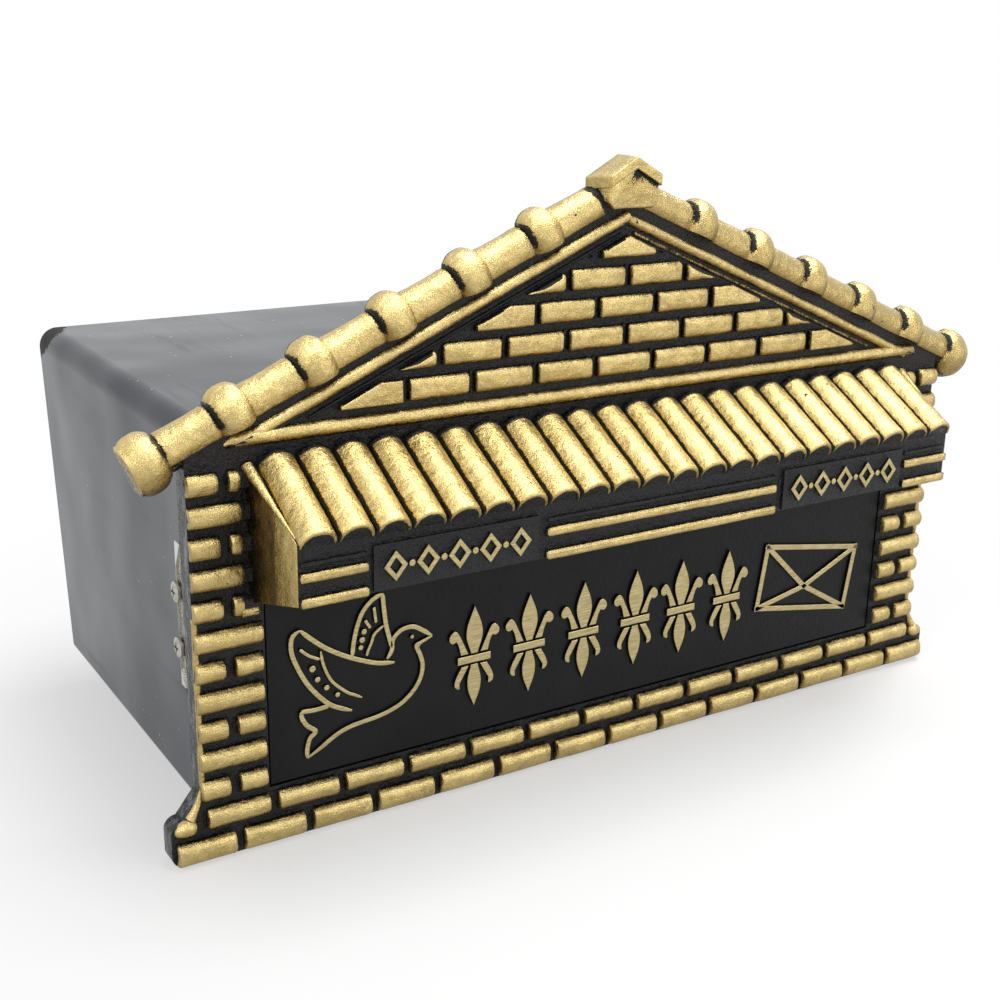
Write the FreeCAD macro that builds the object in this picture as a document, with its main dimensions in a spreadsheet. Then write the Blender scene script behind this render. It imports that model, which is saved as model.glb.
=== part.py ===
import FreeCAD, Part
import Sketcher
import math
import os
import re

# A wall mounted post box: a cast house front with a letter flap, and a folded sheet box behind it.
# X runs to the right of a person facing the front, Y to the back and Z up. The origin is on the plane
# of the wall, below the middle of the base.

V = FreeCAD.Vector
doc = FreeCAD.newDocument("PostBox")
sheet = doc.addObject("Spreadsheet::Sheet", "Sizes")

SIZES = {
    # brickwork of the cast front
    "brick_pitch": 27.0,
    "course_rise": 11.2,
    "brick_joint": 3.4,
    "brick_relief": 2.6,
    "brick_slant": 1.5,
    "base_bricks": 14,
    "base_courses": 2,
    "column_courses": 11,
    "gable_courses": 5,
    "base_margin": 2.0,
    "step_height": 17.0,
    "step_round": 4.5,
    "step_rise": 9.0,
    # plate and rim of the cast front
    "rim_depth": 8.0,
    "front_skin": 4.0,
    "roof_rim": 5.4,
    # roof rolls, their collar caps and the ridge cap
    "roof_angle": 23.2,
    "ridge_axis": 228.3,
    "roll_radius": 7.0,
    "roll_setback": 2.0,
    "roll_length": 209.5,
    "roll_foot": 3.0,
    "cap_radius": 10.8,
    "cap_length": 12.0,
    "cap_pitch": 32.9,
    "cap_start": 39.2,
    "cap_count": 6,
    "ridge_half": 14.0,
    "ridge_front": 11.3,
    "ridge_top": 241.0,
    "ridge_eave": 233.2,
    "ridge_foot": 222.5,
    "ridge_lip": 3.4,
    "ridge_reach": 13.0,
    "ridge_step": 1.2,
    "ridge_inset": 2.0,
    # gable mouldings
    "moulding_radius": 1.9,
    "moulding_drop": 9.2,
    "strip_level": 153.9,
    "strip_radius": 2.6,
    "field_margin": 3.5,
    # hood over the letter flap
    "hood_depth": 32.3,
    "hood_half": 154.2,
    "hood_top": 144.0,
    "hood_foot": 95.4,
    "hood_wall": 3.5,
    "fascia_half": 150.3,
    "fascia_top": 126.0,
    "fascia_foot": 104.0,
    "tile_count": 22,
    "tile_sink": 1.1,
    "tile_lip": 1.5,
    # bars and bare plates on the fascia
    "bar_height": 2.8,
    "bar_relief": 1.3,
    "bar_upper": 114.0,
    "bar_lower": 105.4,
    "bar_middle": 54.0,
    "sign_inner": 58.0,
    "sign_outer": 123.5,
    "sign_foot": 104.6,
    "sign_top": 121.0,
    "sign_relief": 1.0,
    # opening behind the hood, and the flap that closes it
    "window_margin": 1.0,
    "window_top": 137.0,
    "flap_gap": 0.7,
    "flap_recess": 0.4,
    "flap_skin": 3.0,
    "flap_top": 109.0,
    "flap_lap": 3.0,
    "lap_skin": 1.5,
    "lap_top": 98.0,
    "lap_gap": 0.3,
    "pivot_level": 115.0,
    "pivot_front": 11.8,
    "rod_radius": 2.0,
    "rod_gap": 0.06,
    "knuckle_radius": 4.2,
    "knuckle_length": 12.0,
    "rod_lug_inner": 141.0,
    "rod_lug_length": 5.0,
    "rod_lug_foot": 110.0,
    "side_play": 0.4,
    "clip_radius": 4.6,
    "clip_thickness": 0.9,
    # folded sheet box
    "sheet_wall": 1.0,
    "body_inset": 4.0,
    "body_floor": 15.0,
    "body_top": 158.4,
    "body_depth": 164.0,
    "body_round": 8.0,
    "floor_round": 3.0,
    "seat_gap": 0.5,
    "rear_lean": 7.15,
    # lugs, screws and nuts that hold the box to the casting
    "lug_foot": 55.0,
    "lug_top": 116.0,
    "lug_reach": 25.0,
    "lug_taper": 5.0,
    "lug_thickness": 4.0,
    "notch_reach": 17.3,
    "notch_slant": 9.0,
    "screw_back": 17.5,
    "screw_lower": 72.5,
    "screw_upper": 93.8,
    "screw_radius": 2.0,
    "screw_gap": 0.25,
    "head_radius": 3.8,
    "head_height": 1.4,
    "screw_length": 12.0,
    "nut_flats": 7.0,
    "nut_height": 3.2,
    "thread_gap": 0.03,
    # rear opening and its door, measured on the leaning rear panel
    "opening_inset": 21.5,
    "opening_foot": 14.0,
    "opening_top": 120.0,
    "return_depth": 11.0,
    "door_lap": 6.0,
    "door_gap": 0.3,
    "door_sheet": 1.2,
    "emboss_rise": 3.0,
    "emboss_inset": 12.0,
    "emboss_foot": 44.0,
    "emboss_top": 106.0,
    "emboss_slant": 5.0,
    # hinges of the door
    "hinge_place": 96.0,
    "hinge_length": 40.0,
    "hinge_middle": 14.0,
    "hinge_drop": 2.5,
    "hinge_rise": 3.0,
    "hinge_radius": 2.6,
    "pin_radius": 1.25,
    "pin_gap": 0.05,
    "leaf_sheet": 1.0,
    "leaf_reach": 14.5,
    "door_leaf_reach": 15.5,
    "leaf_gap": 0.3,
    "rivet_radius": 1.6,
    "rivet_head": 2.9,
    "rivet_rise": 1.1,
    "rivet_spread": 13.0,
    "rivet_reach": 9.5,
    "door_rivet_reach": 11.6,
    # cam lock of the door
    "lock_level": 30.0,
    "barrel_radius": 9.0,
    "barrel_length": 12.2,
    "barrel_head": 11.0,
    "barrel_rise": 2.0,
    "barrel_gap": 0.2,
    "lock_nut_flats": 22.0,
    "lock_nut_height": 4.0,
    "plug_radius": 5.0,
    "plug_gap": 0.06,
    "plug_rise": 0.8,
    "key_slot": 1.6,
    "drive_side": 6.0,
    "drive_gap": 0.1,
    "cam_sheet": 2.0,
    "cam_width": 12.0,
    "cam_reach": 24.0,
    "cam_gap": 0.4,
    "cam_screw_head": 4.6,
    "cam_screw_rise": 1.8,
    "cam_screw_radius": 1.5,
}

for row, (alias, number) in enumerate(SIZES.items(), 1):
    sheet.set(f"A{row}", alias)
    sheet.set(f"B{row}", str(number))
    sheet.setAlias(f"B{row}", alias)
doc.recompute()


def formula(text):
    """The text with each size's name pointing at its cell."""
    return re.sub(r"[a-z]+(?:_[a-z]+)+", r"Sizes.\g<0>", text)


def at(text):
    """The number that a formula gives."""
    return float(sheet.evalExpression(formula(text)))


def bind(item, **rules):
    """Ties properties of an object to formulas of the sheet; a double underscore stands for a dot."""
    for name, text in rules.items():
        item.setExpression(name.replace("__", "."), formula(text))
    return item


def place(item, x="0", y="0", z="0"):
    return bind(item, Placement__Base__x=x, Placement__Base__y=y, Placement__Base__z=z)


TURNS = {
    "X": FreeCAD.Rotation(V(0, 1, 0), 90),
    "Y": FreeCAD.Rotation(V(1, 0, 0), -90),
    "Z": FreeCAD.Rotation(),
}


def box(name, x, y, z):
    """A box between the two formulas given for each direction."""
    item = doc.addObject("Part::Box", name)
    bind(item, Length=f"({x[1]}) - ({x[0]})", Width=f"({y[1]}) - ({y[0]})", Height=f"({z[1]}) - ({z[0]})")
    return place(item, x[0], y[0], z[0])


def rod(name, direction, radius, start, end, a, b):
    """A cylinder along a direction, from start to end, at a and b on the other two axes in order."""
    item = doc.addObject("Part::Cylinder", name)
    item.Placement.Rotation = TURNS[direction]
    bind(item, Radius=radius, Height=f"({end}) - ({start})")
    corner = {"X": (start, a, b), "Y": (a, start, b), "Z": (a, b, start)}[direction]
    return place(item, *corner)


def wedge(name, front, back):
    """A block with a rectangle at its front and one at its back, each as y, x0, x1, z0, z1."""
    item = doc.addObject("Part::Wedge", name)
    rules = dict(zip(("Ymin", "Xmin", "Xmax", "Zmin", "Zmax"), front))
    rules.update(zip(("Ymax", "X2min", "X2max", "Z2min", "Z2max"), back))
    item.Ymin, item.Ymax = at(front[0]), at(back[0])
    return bind(item, **rules)


def fuse(name, *parts):
    item = doc.addObject("Part::MultiFuse", name)
    item.Shapes = list(parts)
    return item


def cut(name, base, *tools):
    item = doc.addObject("Part::Cut", name)
    item.Base = base
    item.Tool = tools[0] if len(tools) == 1 else fuse(name + "Tools", *tools)
    return item


def common(name, *parts):
    item = doc.addObject("Part::MultiCommon", name)
    item.Shapes = list(parts)
    return item


def mirror(name, source):
    """The same object on the other side of the middle plane."""
    item = doc.addObject("Part::Mirroring", name)
    item.Source = source
    item.Normal = V(1, 0, 0)
    return item


def loose(name, shape):
    """A shape worked out from the sheet's numbers, where no primitive or sketch fits."""
    item = doc.addObject("Part::Feature", name)
    item.Shape = shape
    return item


def outline(body, name, role, corners, offset="0"):
    """A closed sketch on one of the body's own planes.

    Each corner is two formulas. A third, a radius, makes the stretch to the next corner an arc, and a
    fourth says on which side of that stretch its centre lies.
    """
    sketch = body.newObject("Sketcher::SketchObject", name)
    plane = next(f for f in body.Origin.OriginFeatures if f.Role == role)
    sketch.AttachmentSupport = [(plane, "")]
    sketch.MapMode = "FlatFace"
    bind(sketch, AttachmentOffset__Base__z=offset)
    spots = [V(at(c[0]), at(c[1]), 0) for c in corners]
    ends = []
    for i, corner in enumerate(corners):
        a, b = spots[i], spots[(i + 1) % len(spots)]
        if len(corner) == 2:
            ends.append((sketch.addGeometry(Part.LineSegment(a, b)), 1, 2))
            continue
        radius, left = at(corner[2]), corner[3] == "left"
        chord = b - a
        side = V(-chord.y, chord.x, 0).normalize() * (1 if left else -1)
        centre = (a + b) / 2 + side * math.sqrt(radius**2 - (chord.Length / 2) ** 2)
        first, last = (a, b) if left else (b, a)
        angles = [math.atan2(p.y - centre.y, p.x - centre.x) for p in (first, last)]
        arc = Part.ArcOfCircle(Part.Circle(centre, V(0, 0, 1), radius), *angles)
        geo = sketch.addGeometry(arc)
        ends.append((geo, 1, 2) if left else (geo, 2, 1))
        tie = sketch.addConstraint(Sketcher.Constraint("Radius", geo, radius))
        sketch.setExpression(f"Constraints[{tie}]", formula(corner[2]))
    for i, (geo, start, _) in enumerate(ends):
        before, _, end = ends[i - 1]
        sketch.addConstraint(Sketcher.Constraint("Coincident", before, end, geo, start))
        for way, axis in enumerate(("DistanceX", "DistanceY")):
            number = (spots[i].x, spots[i].y)[way]
            tie = sketch.addConstraint(Sketcher.Constraint(axis, geo, start, number))
            sketch.setExpression(f"Constraints[{tie}]", formula(corners[i][way]))
    return sketch


def mirrored(corners):
    """The corners of a right half, from its foot to its top, and of the left half back down.

    An arc belongs to the corner that it leaves, so on the way back it moves to its other end.
    """
    back = []
    for i in range(len(corners) - 1, -1, -1):
        across, up = corners[i][0], corners[i][1]
        arc = corners[i - 1][2:] if i > 0 else ()
        if across != "0":
            back.append((f"-({across})", up, *arc))
    return list(corners) + back


def pad(body, sketch, length, reverse=False, midplane=False):
    item = body.newObject("PartDesign::Pad", sketch.Name + "Pad")
    item.Profile = sketch
    item.Reversed = reverse
    if midplane:
        item.SideType = "Symmetric"
    return bind(item, Length=length)


def turned(label, corners):
    """A body turned about the Z axis of its own frame from a half profile of x, z corners."""
    body = doc.addObject("PartDesign::Body", label)
    sketch = outline(body, label + "Profile", "XZ_Plane", corners)
    item = body.newObject("PartDesign::Revolution", label + "Turn")
    item.Profile = sketch
    item.ReferenceAxis = (sketch, ["V_Axis"])
    item.Angle = 360
    return body


# Names for places that several pieces share
COLUMN = "(base_bricks - 1) / 2 * brick_pitch"
BASE = "(base_bricks / 2 * brick_pitch - base_margin)"
PANEL = "(base_bricks - 3) / 2 * brick_pitch"
WINDOW = f"({PANEL} + window_margin)"
BASE_TOP = "(base_courses * course_rise)"
FRONT = "(-rim_depth)"
SKIN_BACK = "(-rim_depth + front_skin)"
FASCIA = "(-rim_depth - hood_depth)"
ROLL_AXIS_Y = "(-roll_setback)"
SLOPE = "tan(roof_angle)"
MOULDING = "(ridge_axis - moulding_drop / cos(roof_angle))"
MOULDING_TOP = "(ridge_axis - (moulding_drop - moulding_radius) / cos(roof_angle))"
POCKET_TOP = "(ridge_axis + (roll_radius - roof_rim) / cos(roof_angle))"
BODY = f"({COLUMN} - body_inset)"
OPENING = f"({BODY} - opening_inset)"
SEAT = f"({BODY} + seat_gap)"
PIVOT_Y = "(-pivot_front)"


def cast_plate():
    """The flat of the front: base with its rounded steps, columns and gable, up to the roll axes."""
    body = doc.addObject("PartDesign::Body", "CastPlate")
    right = [
        (f"{BASE} - step_round", "0", "step_round", "left"),
        (BASE, "step_round"),
        (BASE, "step_height - step_round", "step_round", "left"),
        (f"{BASE} - step_round", "step_height"),
        (COLUMN, "step_height + step_rise"),
        (COLUMN, f"ridge_axis - {COLUMN} * {SLOPE}"),
        ("0", "ridge_axis"),
    ]
    pad(body, outline(body, "PlateOutline", "XZ_Plane", mirrored(right)), "rim_depth")
    return body


def brick(x0, x1, z0, z1):
    """One brick with slanted sides that stands on the front plane, between the middles of its joints."""
    front, gap, slant = at(FRONT), at("brick_joint") / 2, at("brick_slant")
    x0, x1, z0, z1 = x0 + gap, x1 - gap, z0 + gap, z1 - gap
    top = front - at("brick_relief")
    rings = []
    for y, inset in ((front, 0), (top, slant)):
        a, b, c, d = x0 + inset, x1 - inset, z0 + inset, z1 - inset
        corners = [V(a, y, c), V(b, y, c), V(b, y, d), V(a, y, d)]
        rings.append(Part.makePolygon(corners + corners[:1]))
    return Part.makeLoft(rings, True, True)


def wall_bricks():
    """The bricks of the base and the two columns; short pairs and long bricks take turns."""
    pitch, rise = at("brick_pitch"), at("course_rise")
    half, margin = at(BASE), at("base_margin")
    count = int(at("base_bricks"))
    bricks = []
    for course in range(int(at("base_courses"))):
        shift = pitch / 2 if course % 2 else 0
        z0 = course * rise
        edge = -count / 2 * pitch
        for i in range(count + (1 if shift else 0)):
            x0, x1 = edge + i * pitch - shift, edge + (i + 1) * pitch - shift
            x0, x1 = max(x0, -half), min(x1, half)
            if shift and x1 - x0 < pitch / 2 + margin:
                continue
            bricks.append(brick(x0, x1, z0, z0 + rise))
    inner, outer = at(PANEL), at(COLUMN)
    for course in range(int(at("column_courses"))):
        z0 = at(BASE_TOP) + course * rise
        middle, edge = (inner + outer + 1) / 2, outer + at("brick_joint") / 2
        spans = [(inner, edge)] if course % 2 else [(inner, middle), (middle, edge)]
        for a, b in spans:
            bricks.append(brick(a, b, z0, z0 + rise))
            bricks.append(brick(-b, -a, z0, z0 + rise))
    return loose("WallBricks", Part.makeCompound(bricks))


def gable_field(name, level, y0, y1):
    """A triangular block of the gable under a slope that meets the middle at the given height."""
    foot = "strip_level"
    body = doc.addObject("PartDesign::Body", name)
    corners = [(f"({level} - {foot}) / {SLOPE}", foot), ("0", level)]
    corners.append((f"-({level} - {foot}) / {SLOPE}", foot))
    sketch = outline(body, name + "Outline", "XZ_Plane", corners, f"-({y0})")
    pad(body, sketch, f"({y1}) - ({y0})", reverse=True)
    return body


def gable_bricks():
    """Running courses of bricks over the gable, trimmed by the slope of the moulding."""
    pitch, rise = at("brick_pitch"), at("course_rise")
    foot = at("strip_level + strip_radius + brick_joint / 2")
    level = f"({MOULDING} - (moulding_radius + field_margin) / cos(roof_angle))"
    bricks = []
    for course in range(int(at("gable_courses"))):
        z0 = foot + course * rise
        reach = (at(level) - z0) / math.tan(math.radians(at("roof_angle")))
        shift = 0 if course % 2 else pitch / 2
        first = -math.ceil((reach + shift) / pitch) * pitch + shift
        while first < reach:
            bricks.append(brick(first, first + pitch, z0, z0 + rise))
            first += pitch
    field = gable_field("GableField", level, f"{FRONT} - brick_relief - 1", f"{FRONT} + 1")
    return common("GableBricks", loose("GableRows", Part.makeCompound(bricks)), field)


def mouldings():
    """Half round beads: one along each slope and one along the foot of the gable."""
    reach = "(base_bricks / 2 * brick_pitch)"
    strip = rod("StripBead", "X", "strip_radius", f"-{reach}", reach, FRONT, "strip_level")
    slopes = []
    for name, side in (("LeftBead", -1), ("RightBead", 1)):
        bead = doc.addObject("Part::Cylinder", name)
        bind(bead, Radius="moulding_radius", Height="roll_length")
        bead.Placement.Rotation = FreeCAD.Rotation(V(0, 1, 0), side * (90 + at("roof_angle")))
        slopes.append(place(bead, "0", FRONT, MOULDING))
    beads = fuse("Beads", strip, *slopes)
    foot = "(strip_level - strip_radius)"
    body = doc.addObject("PartDesign::Body", "BeadField")
    across = f"({MOULDING_TOP} - {foot}) / {SLOPE}"
    corners = [(across, foot), ("0", MOULDING_TOP), (f"-({across})", foot)]
    sketch = outline(body, "BeadFieldOutline", "XZ_Plane", corners, "rim_depth - strip_radius")
    pad(body, sketch, "strip_radius * 2 + 1")
    return common("Mouldings", beads, body)


def roll_profile():
    """Half profile of one roof roll with its collar caps, along the roll from the ridge."""
    radius, bulge, length = at("roll_radius"), at("cap_radius"), at("cap_length")
    neck, shoulder = radius - 0.2, radius + (bulge - radius) * 0.2
    points = [V(0, 0, 0), V(neck, 0, 0)]
    edges = []
    for i in range(int(at("cap_count"))):
        s0 = at("cap_start") + i * at("cap_pitch") - length / 2
        begin, crown = V(shoulder, 0, s0), V(bulge, 0, s0 + length / 2)
        foot = V(shoulder, 0, s0 + length)
        edges.append(Part.LineSegment(points[-1], V(radius, 0, s0)).toShape())
        edges.append(Part.LineSegment(V(radius, 0, s0), begin).toShape())
        swell = bulge - (bulge - shoulder) * 0.3
        edges.append(Part.Arc(begin, V(swell, 0, s0 + length * 0.2), crown).toShape())
        edges.append(Part.Arc(crown, V(swell, 0, s0 + length * 0.8), foot).toShape())
        points += [begin, crown, foot]
        if i < int(at("cap_count")) - 1:
            groove = V(neck, 0, s0 + length)
            edges.append(Part.LineSegment(foot, groove).toShape())
            points.append(groove)
    tip = V(0, 0, points[-1].z)
    edges.append(Part.LineSegment(points[-1], tip).toShape())
    edges.append(Part.LineSegment(tip, points[0]).toShape())
    return Part.Wire([Part.LineSegment(points[0], points[1]).toShape()] + edges)


def roof_rolls():
    """Two rolls that run down the slopes from the ridge, cut flat by the wall plane."""
    solid = Part.Face(roll_profile()).revolve(V(0, 0, 0), V(0, 0, 1), 360)
    rolls = []
    for name, side in (("LeftRoll", -1), ("RightRoll", 1)):
        roll = loose(name, solid.copy())
        roll.Placement.Rotation = FreeCAD.Rotation(V(0, 1, 0), side * (90 + at("roof_angle")))
        rolls.append(place(roll, "0", ROLL_AXIS_Y, "ridge_axis"))
    far = "(roll_length + cap_radius)"
    behind = box("BehindRolls", (f"-{far}", far), ("0", "2 * cap_radius"), ("0", "ridge_top + cap_radius"))
    below = doc.addObject("PartDesign::Body", "BelowRolls")
    level = "(ridge_axis - roll_foot / cos(roof_angle))"
    corners = [(far, "0"), (far, f"{level} - {far} * {SLOPE}"), ("0", level)]
    corners += [(f"-{far}", f"{level} - {far} * {SLOPE}"), (f"-{far}", "0")]
    pad(below, outline(below, "BelowOutline", "XZ_Plane", corners, "rim_depth"), "2 * cap_radius")
    return cut("RoofRolls", fuse("Rolls", *rolls), behind, below)


def ridge_cap():
    """The cap at the ridge: a block below a gable shaped lip, both narrower at the front."""
    lip = doc.addObject("PartDesign::Body", "RidgeLip")
    right = [("ridge_half", "ridge_eave - ridge_lip"), ("ridge_half", "ridge_eave"), ("0", "ridge_top")]
    corners = mirrored(right) + [("0", "ridge_top - ridge_lip * 1.2")]
    pad(lip, outline(lip, "LipOutline", "XZ_Plane", corners), "ridge_reach")
    block = doc.addObject("PartDesign::Body", "RidgeBlock")
    side = "(ridge_front - ridge_inset / 3)"
    right = [
        (f"{side} - ridge_inset", "ridge_foot"),
        (side, "ridge_foot + ridge_inset"),
        (side, "ridge_eave - ridge_lip / 2"),
        ("0", "ridge_top - ridge_lip / 2"),
    ]
    pad(block, outline(block, "BlockOutline", "XZ_Plane", mirrored(right)), "ridge_reach - ridge_step")
    front = ("-ridge_reach - 0.5", "-ridge_front", "ridge_front", "ridge_foot - 1", "ridge_top + 1")
    taper = wedge("RidgeTaper", front, ("0", "-ridge_half", "ridge_half", "ridge_foot - 1", "ridge_top + 1"))
    return common("RidgeCap", fuse("RidgeSolid", lip, block), taper)


def hood():
    """The hood: a tapered block with half round tiles on its slope, and bars and signs on its fascia."""
    front = (FASCIA, "-fascia_half", "fascia_half", "fascia_foot", "fascia_top")
    block = wedge("HoodBlock", front, (f"{FRONT} + 1", "-hood_half", "hood_half", "hood_foot", "hood_top"))
    run, drop = at("hood_depth"), at("hood_top - fascia_top")
    angle = math.atan2(drop, run)
    pitch = 2 * at("fascia_half") / at("tile_count")
    length = math.hypot(run, drop) + at("tile_lip")
    down = V(0, -math.cos(angle), -math.sin(angle))
    up = V(0, -math.sin(angle), math.cos(angle))
    head = V(0, at(FRONT), at("hood_top")) - up * at("tile_sink")
    tiles = []
    for i in range(int(at("tile_count"))):
        x = (i + 0.5) * pitch - at("fascia_half")
        tiles.append(Part.makeCylinder(pitch / 2, length, head + V(x, 0, 0), down))
    tile_row = loose("TileRow", Part.makeCompound(tiles))
    above = wedge(
        "TileSpace",
        (f"{FASCIA} - tile_lip * 2", "-hood_half", "hood_half", "fascia_top - tile_lip * 1.5", "hood_top"),
        (FRONT, "-hood_half", "hood_half", "hood_top - tile_lip", "hood_top + brick_pitch"),
    )
    return fuse("Hood", block, common("Tiles", tile_row, above))


def fascia_trim():
    """Bars and the two bare sign plates on the fascia."""
    y = (f"{FASCIA} - bar_relief", f"{FASCIA} + 1")
    items = []
    for row, level in (("Upper", "bar_upper"), ("Lower", "bar_lower")):
        z = (f"{level} - bar_height / 2", f"{level} + bar_height / 2")
        items.append(box(f"{row}BarMiddle", ("-bar_middle", "bar_middle"), y, z))
        end = box(f"{row}BarRight", ("sign_outer + brick_joint / 2", "fascia_half"), y, z)
        items += [end, mirror(f"{row}BarLeft", end)]
    plate_y = (f"{FASCIA} - sign_relief", f"{FASCIA} + 1")
    plate = box("SignRight", ("sign_inner", "sign_outer"), plate_y, ("sign_foot", "sign_top"))
    return items + [plate, mirror("SignLeft", plate)]


def side_lug():
    """The lug inside the box on the right: its outer face lies on the sheet, its ends taper."""
    body = doc.addObject("PartDesign::Body", "SideLug")
    corners = [
        (f"{SKIN_BACK} - 1", "lug_foot - lug_taper"),
        ("lug_reach", "lug_foot + lug_taper"),
        ("lug_reach", "lug_top - lug_taper"),
        (f"{SKIN_BACK} - 1", "lug_top + lug_taper"),
    ]
    inner = f"{BODY} - sheet_wall - lug_thickness"
    pad(body, outline(body, "LugOutline", "YZ_Plane", corners, inner), "lug_thickness")
    return body


def side_bores(name, radius):
    """Bores for the side screws through one wall of the box and its lug, right side."""
    span = (f"{BODY} - sheet_wall - lug_thickness - 1", f"{BODY} + 1")
    lower = rod(name + "Lower", "X", radius, *span, "screw_back", "screw_lower")
    upper = rod(name + "Upper", "X", radius, *span, "screw_back", "screw_upper")
    return fuse(name, lower, upper)


def front_casting():
    pocket_body = doc.addObject("PartDesign::Body", "Pocket")
    right = [
        (SEAT, "body_floor - seat_gap"),
        (SEAT, f"{POCKET_TOP} - {SEAT} * {SLOPE}"),
        ("0", POCKET_TOP),
    ]
    sketch = outline(pocket_body, "PocketOutline", "XZ_Plane", mirrored(right), "-1")
    pad(pocket_body, sketch, "rim_depth - front_skin + 1")
    across = (f"-{WINDOW}", WINDOW)
    window = box("Window", across, (f"{FRONT} - 1", "1"), (BASE_TOP, "window_top"))
    cavity = wedge(
        "HoodCavity",
        (
            f"{FASCIA} + hood_wall",
            "-(fascia_half - hood_wall)",
            "fascia_half - hood_wall",
            "fascia_foot - hood_wall",
            "fascia_top - hood_wall * 1.3",
        ),
        (FRONT, f"-{WINDOW}", WINDOW, "hood_foot - hood_wall * 1.5", "window_top"),
    )
    relief = [wall_bricks(), gable_bricks(), mouldings(), roof_rolls(), ridge_cap(), hood()]
    solid = fuse("CastSolid", cast_plate(), *relief, *fascia_trim())
    shell = cut("CastShell", solid, pocket_body, window, cavity)
    lug = side_lug()
    ends = ("rod_lug_inner", "rod_lug_inner + rod_lug_length")
    rod_lug = box("RodLug", ends, (f"{PIVOT_Y} - 4.5", f"{FRONT} - 0.3"), ("rod_lug_foot", "window_top"))
    lugs = [lug, mirror("SideLugLeft", lug), rod_lug, mirror("RodLugLeft", rod_lug)]
    bores = side_bores("LugBores", "screw_radius + screw_gap")
    reach = "(rod_lug_inner + rod_lug_length + 1)"
    rod_bore = rod("RodBore", "X", "rod_radius + rod_gap", f"-{reach}", reach, PIVOT_Y, "pivot_level")
    whole = fuse("CastWhole", shell, *lugs)
    return cut("front_casting", whole, bores, mirror("LugBoresLeft", bores), rod_bore)


def letter_flap():
    """The flap: a plate in the opening, a lap behind its edges, and three knuckles on the rod."""
    half = f"({WINDOW} - flap_gap)"
    face = f"({FRONT} + flap_recess)"
    back = f"({face} + flap_skin)"
    plate = box("FlapPlate", (f"-{half}", half), (face, back), (f"{BASE_TOP} + flap_gap", "flap_top"))
    lap_half = f"({WINDOW} + flap_lap)"
    lap_y = (f"{back} - 0.2", f"{SKIN_BACK} + lap_gap + lap_skin")
    lap = box("FlapLap", (f"-{lap_half}", lap_half), lap_y, (f"{BASE_TOP} - flap_lap", "lap_top"))
    inside = (f"-({half} - flap_lap * 2)", f"{half} - flap_lap * 2")
    hollow = box("LapHollow", inside, (back, "0"), (f"{BASE_TOP} + flap_lap * 3", "lap_top + 1"))
    clear = (f"{back} - 1", f"{SKIN_BACK} + lap_gap")
    lap_parts = []
    for name, x, z in (
        ("LapClearRight", (half, f"{lap_half} + 1"), ("0", "flap_top")),
        ("LapClearFoot", (f"-({lap_half} + 1)", f"{lap_half} + 1"), ("0", f"{BASE_TOP} + flap_gap")),
    ):
        lap_parts.append(box(name, x, clear, z))
    lap_parts.append(mirror("LapClearLeft", lap_parts[0]))
    rim = cut("LapRim", lap, hollow, *lap_parts)
    outer = "(rod_lug_inner - side_play)"
    knuckles = []
    for name, x0, x1 in (
        ("Middle", "-knuckle_length / 2", "knuckle_length / 2"),
        ("Right", f"{outer} - knuckle_length", outer),
    ):
        barrel = rod(f"{name}Knuckle", "X", "knuckle_radius", x0, x1, PIVOT_Y, "pivot_level")
        web_y = (f"{PIVOT_Y} - 1", f"{back} - 1")
        web = box(f"{name}Web", (x0, x1), web_y, ("flap_top - 6", "pivot_level"))
        knuckles.append(fuse(f"{name}Ear", barrel, web))
    knuckles.append(mirror("LeftEar", knuckles[1]))
    solid = fuse("FlapSolid", plate, rim, *knuckles)
    bore = rod("FlapBore", "X", "rod_radius + rod_gap", f"-{half}", half, PIVOT_Y, "pivot_level")
    return cut("letter_flap", solid, bore)


def flap_rod():
    end = "(rod_lug_inner + rod_lug_length + clip_thickness + 1)"
    return rod("flap_rod", "X", "rod_radius", f"-{end}", end, PIVOT_Y, "pivot_level")


def rod_clip(label, side):
    start = "rod_lug_inner + rod_lug_length + 0.2"
    span = (start, f"{start} + clip_thickness")
    disc = rod(label + "Disc", "X", "clip_radius", *span, PIVOT_Y, "pivot_level")
    hole = rod(label + "Hole", "X", "rod_radius", f"{start} - 1", f"{span[1]} + 1", PIVOT_Y, "pivot_level")
    ring = cut(label + "Ring", disc, hole)
    return mirror(label, ring) if side < 0 else ring


def rear_frame(item):
    """Puts an object on the leaning rear panel: its Y points out of the panel and its Z up along it."""
    turn = FreeCAD.Rotation(V(1, 0, 0), -at("rear_lean"))
    item.Placement = FreeCAD.Placement(V(0, at("body_depth"), at("body_floor")), turn)
    return item


def section(name, inset, start):
    """A block with the box's section, smaller all round by the inset, from start to past the rear."""
    body = doc.addObject("PartDesign::Body", name)
    half, foot, top = f"({BODY} - {inset})", f"(body_floor + {inset})", f"(body_top - {inset})"
    low, high = f"(floor_round - {inset})", f"(body_round - {inset})"
    right = [
        (f"{half} - {low}", foot, low, "left"),
        (half, f"{foot} + {low}"),
        (half, f"{top} - {high}", high, "left"),
        (f"{half} - {high}", top),
    ]
    sketch = outline(body, name + "Outline", "XZ_Plane", mirrored(right), f"-({start})")
    pad(body, sketch, "body_depth * 1.5", reverse=True)
    return body


def beyond(name, outward):
    """Everything behind a plane that lies outward of the rear panel."""
    far = f"(2 * {BODY})"
    return rear_frame(loose(name, box_shape((f"-{far}", far), (outward, "body_depth"), (f"-{far}", far))))


def box_shape(x, y, z):
    low = V(at(x[0]), at(y[0]), at(z[0]))
    high = V(at(x[1]), at(y[1]), at(z[1]))
    size = high - low
    return Part.makeBox(size.x, size.y, size.z, low)


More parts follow.
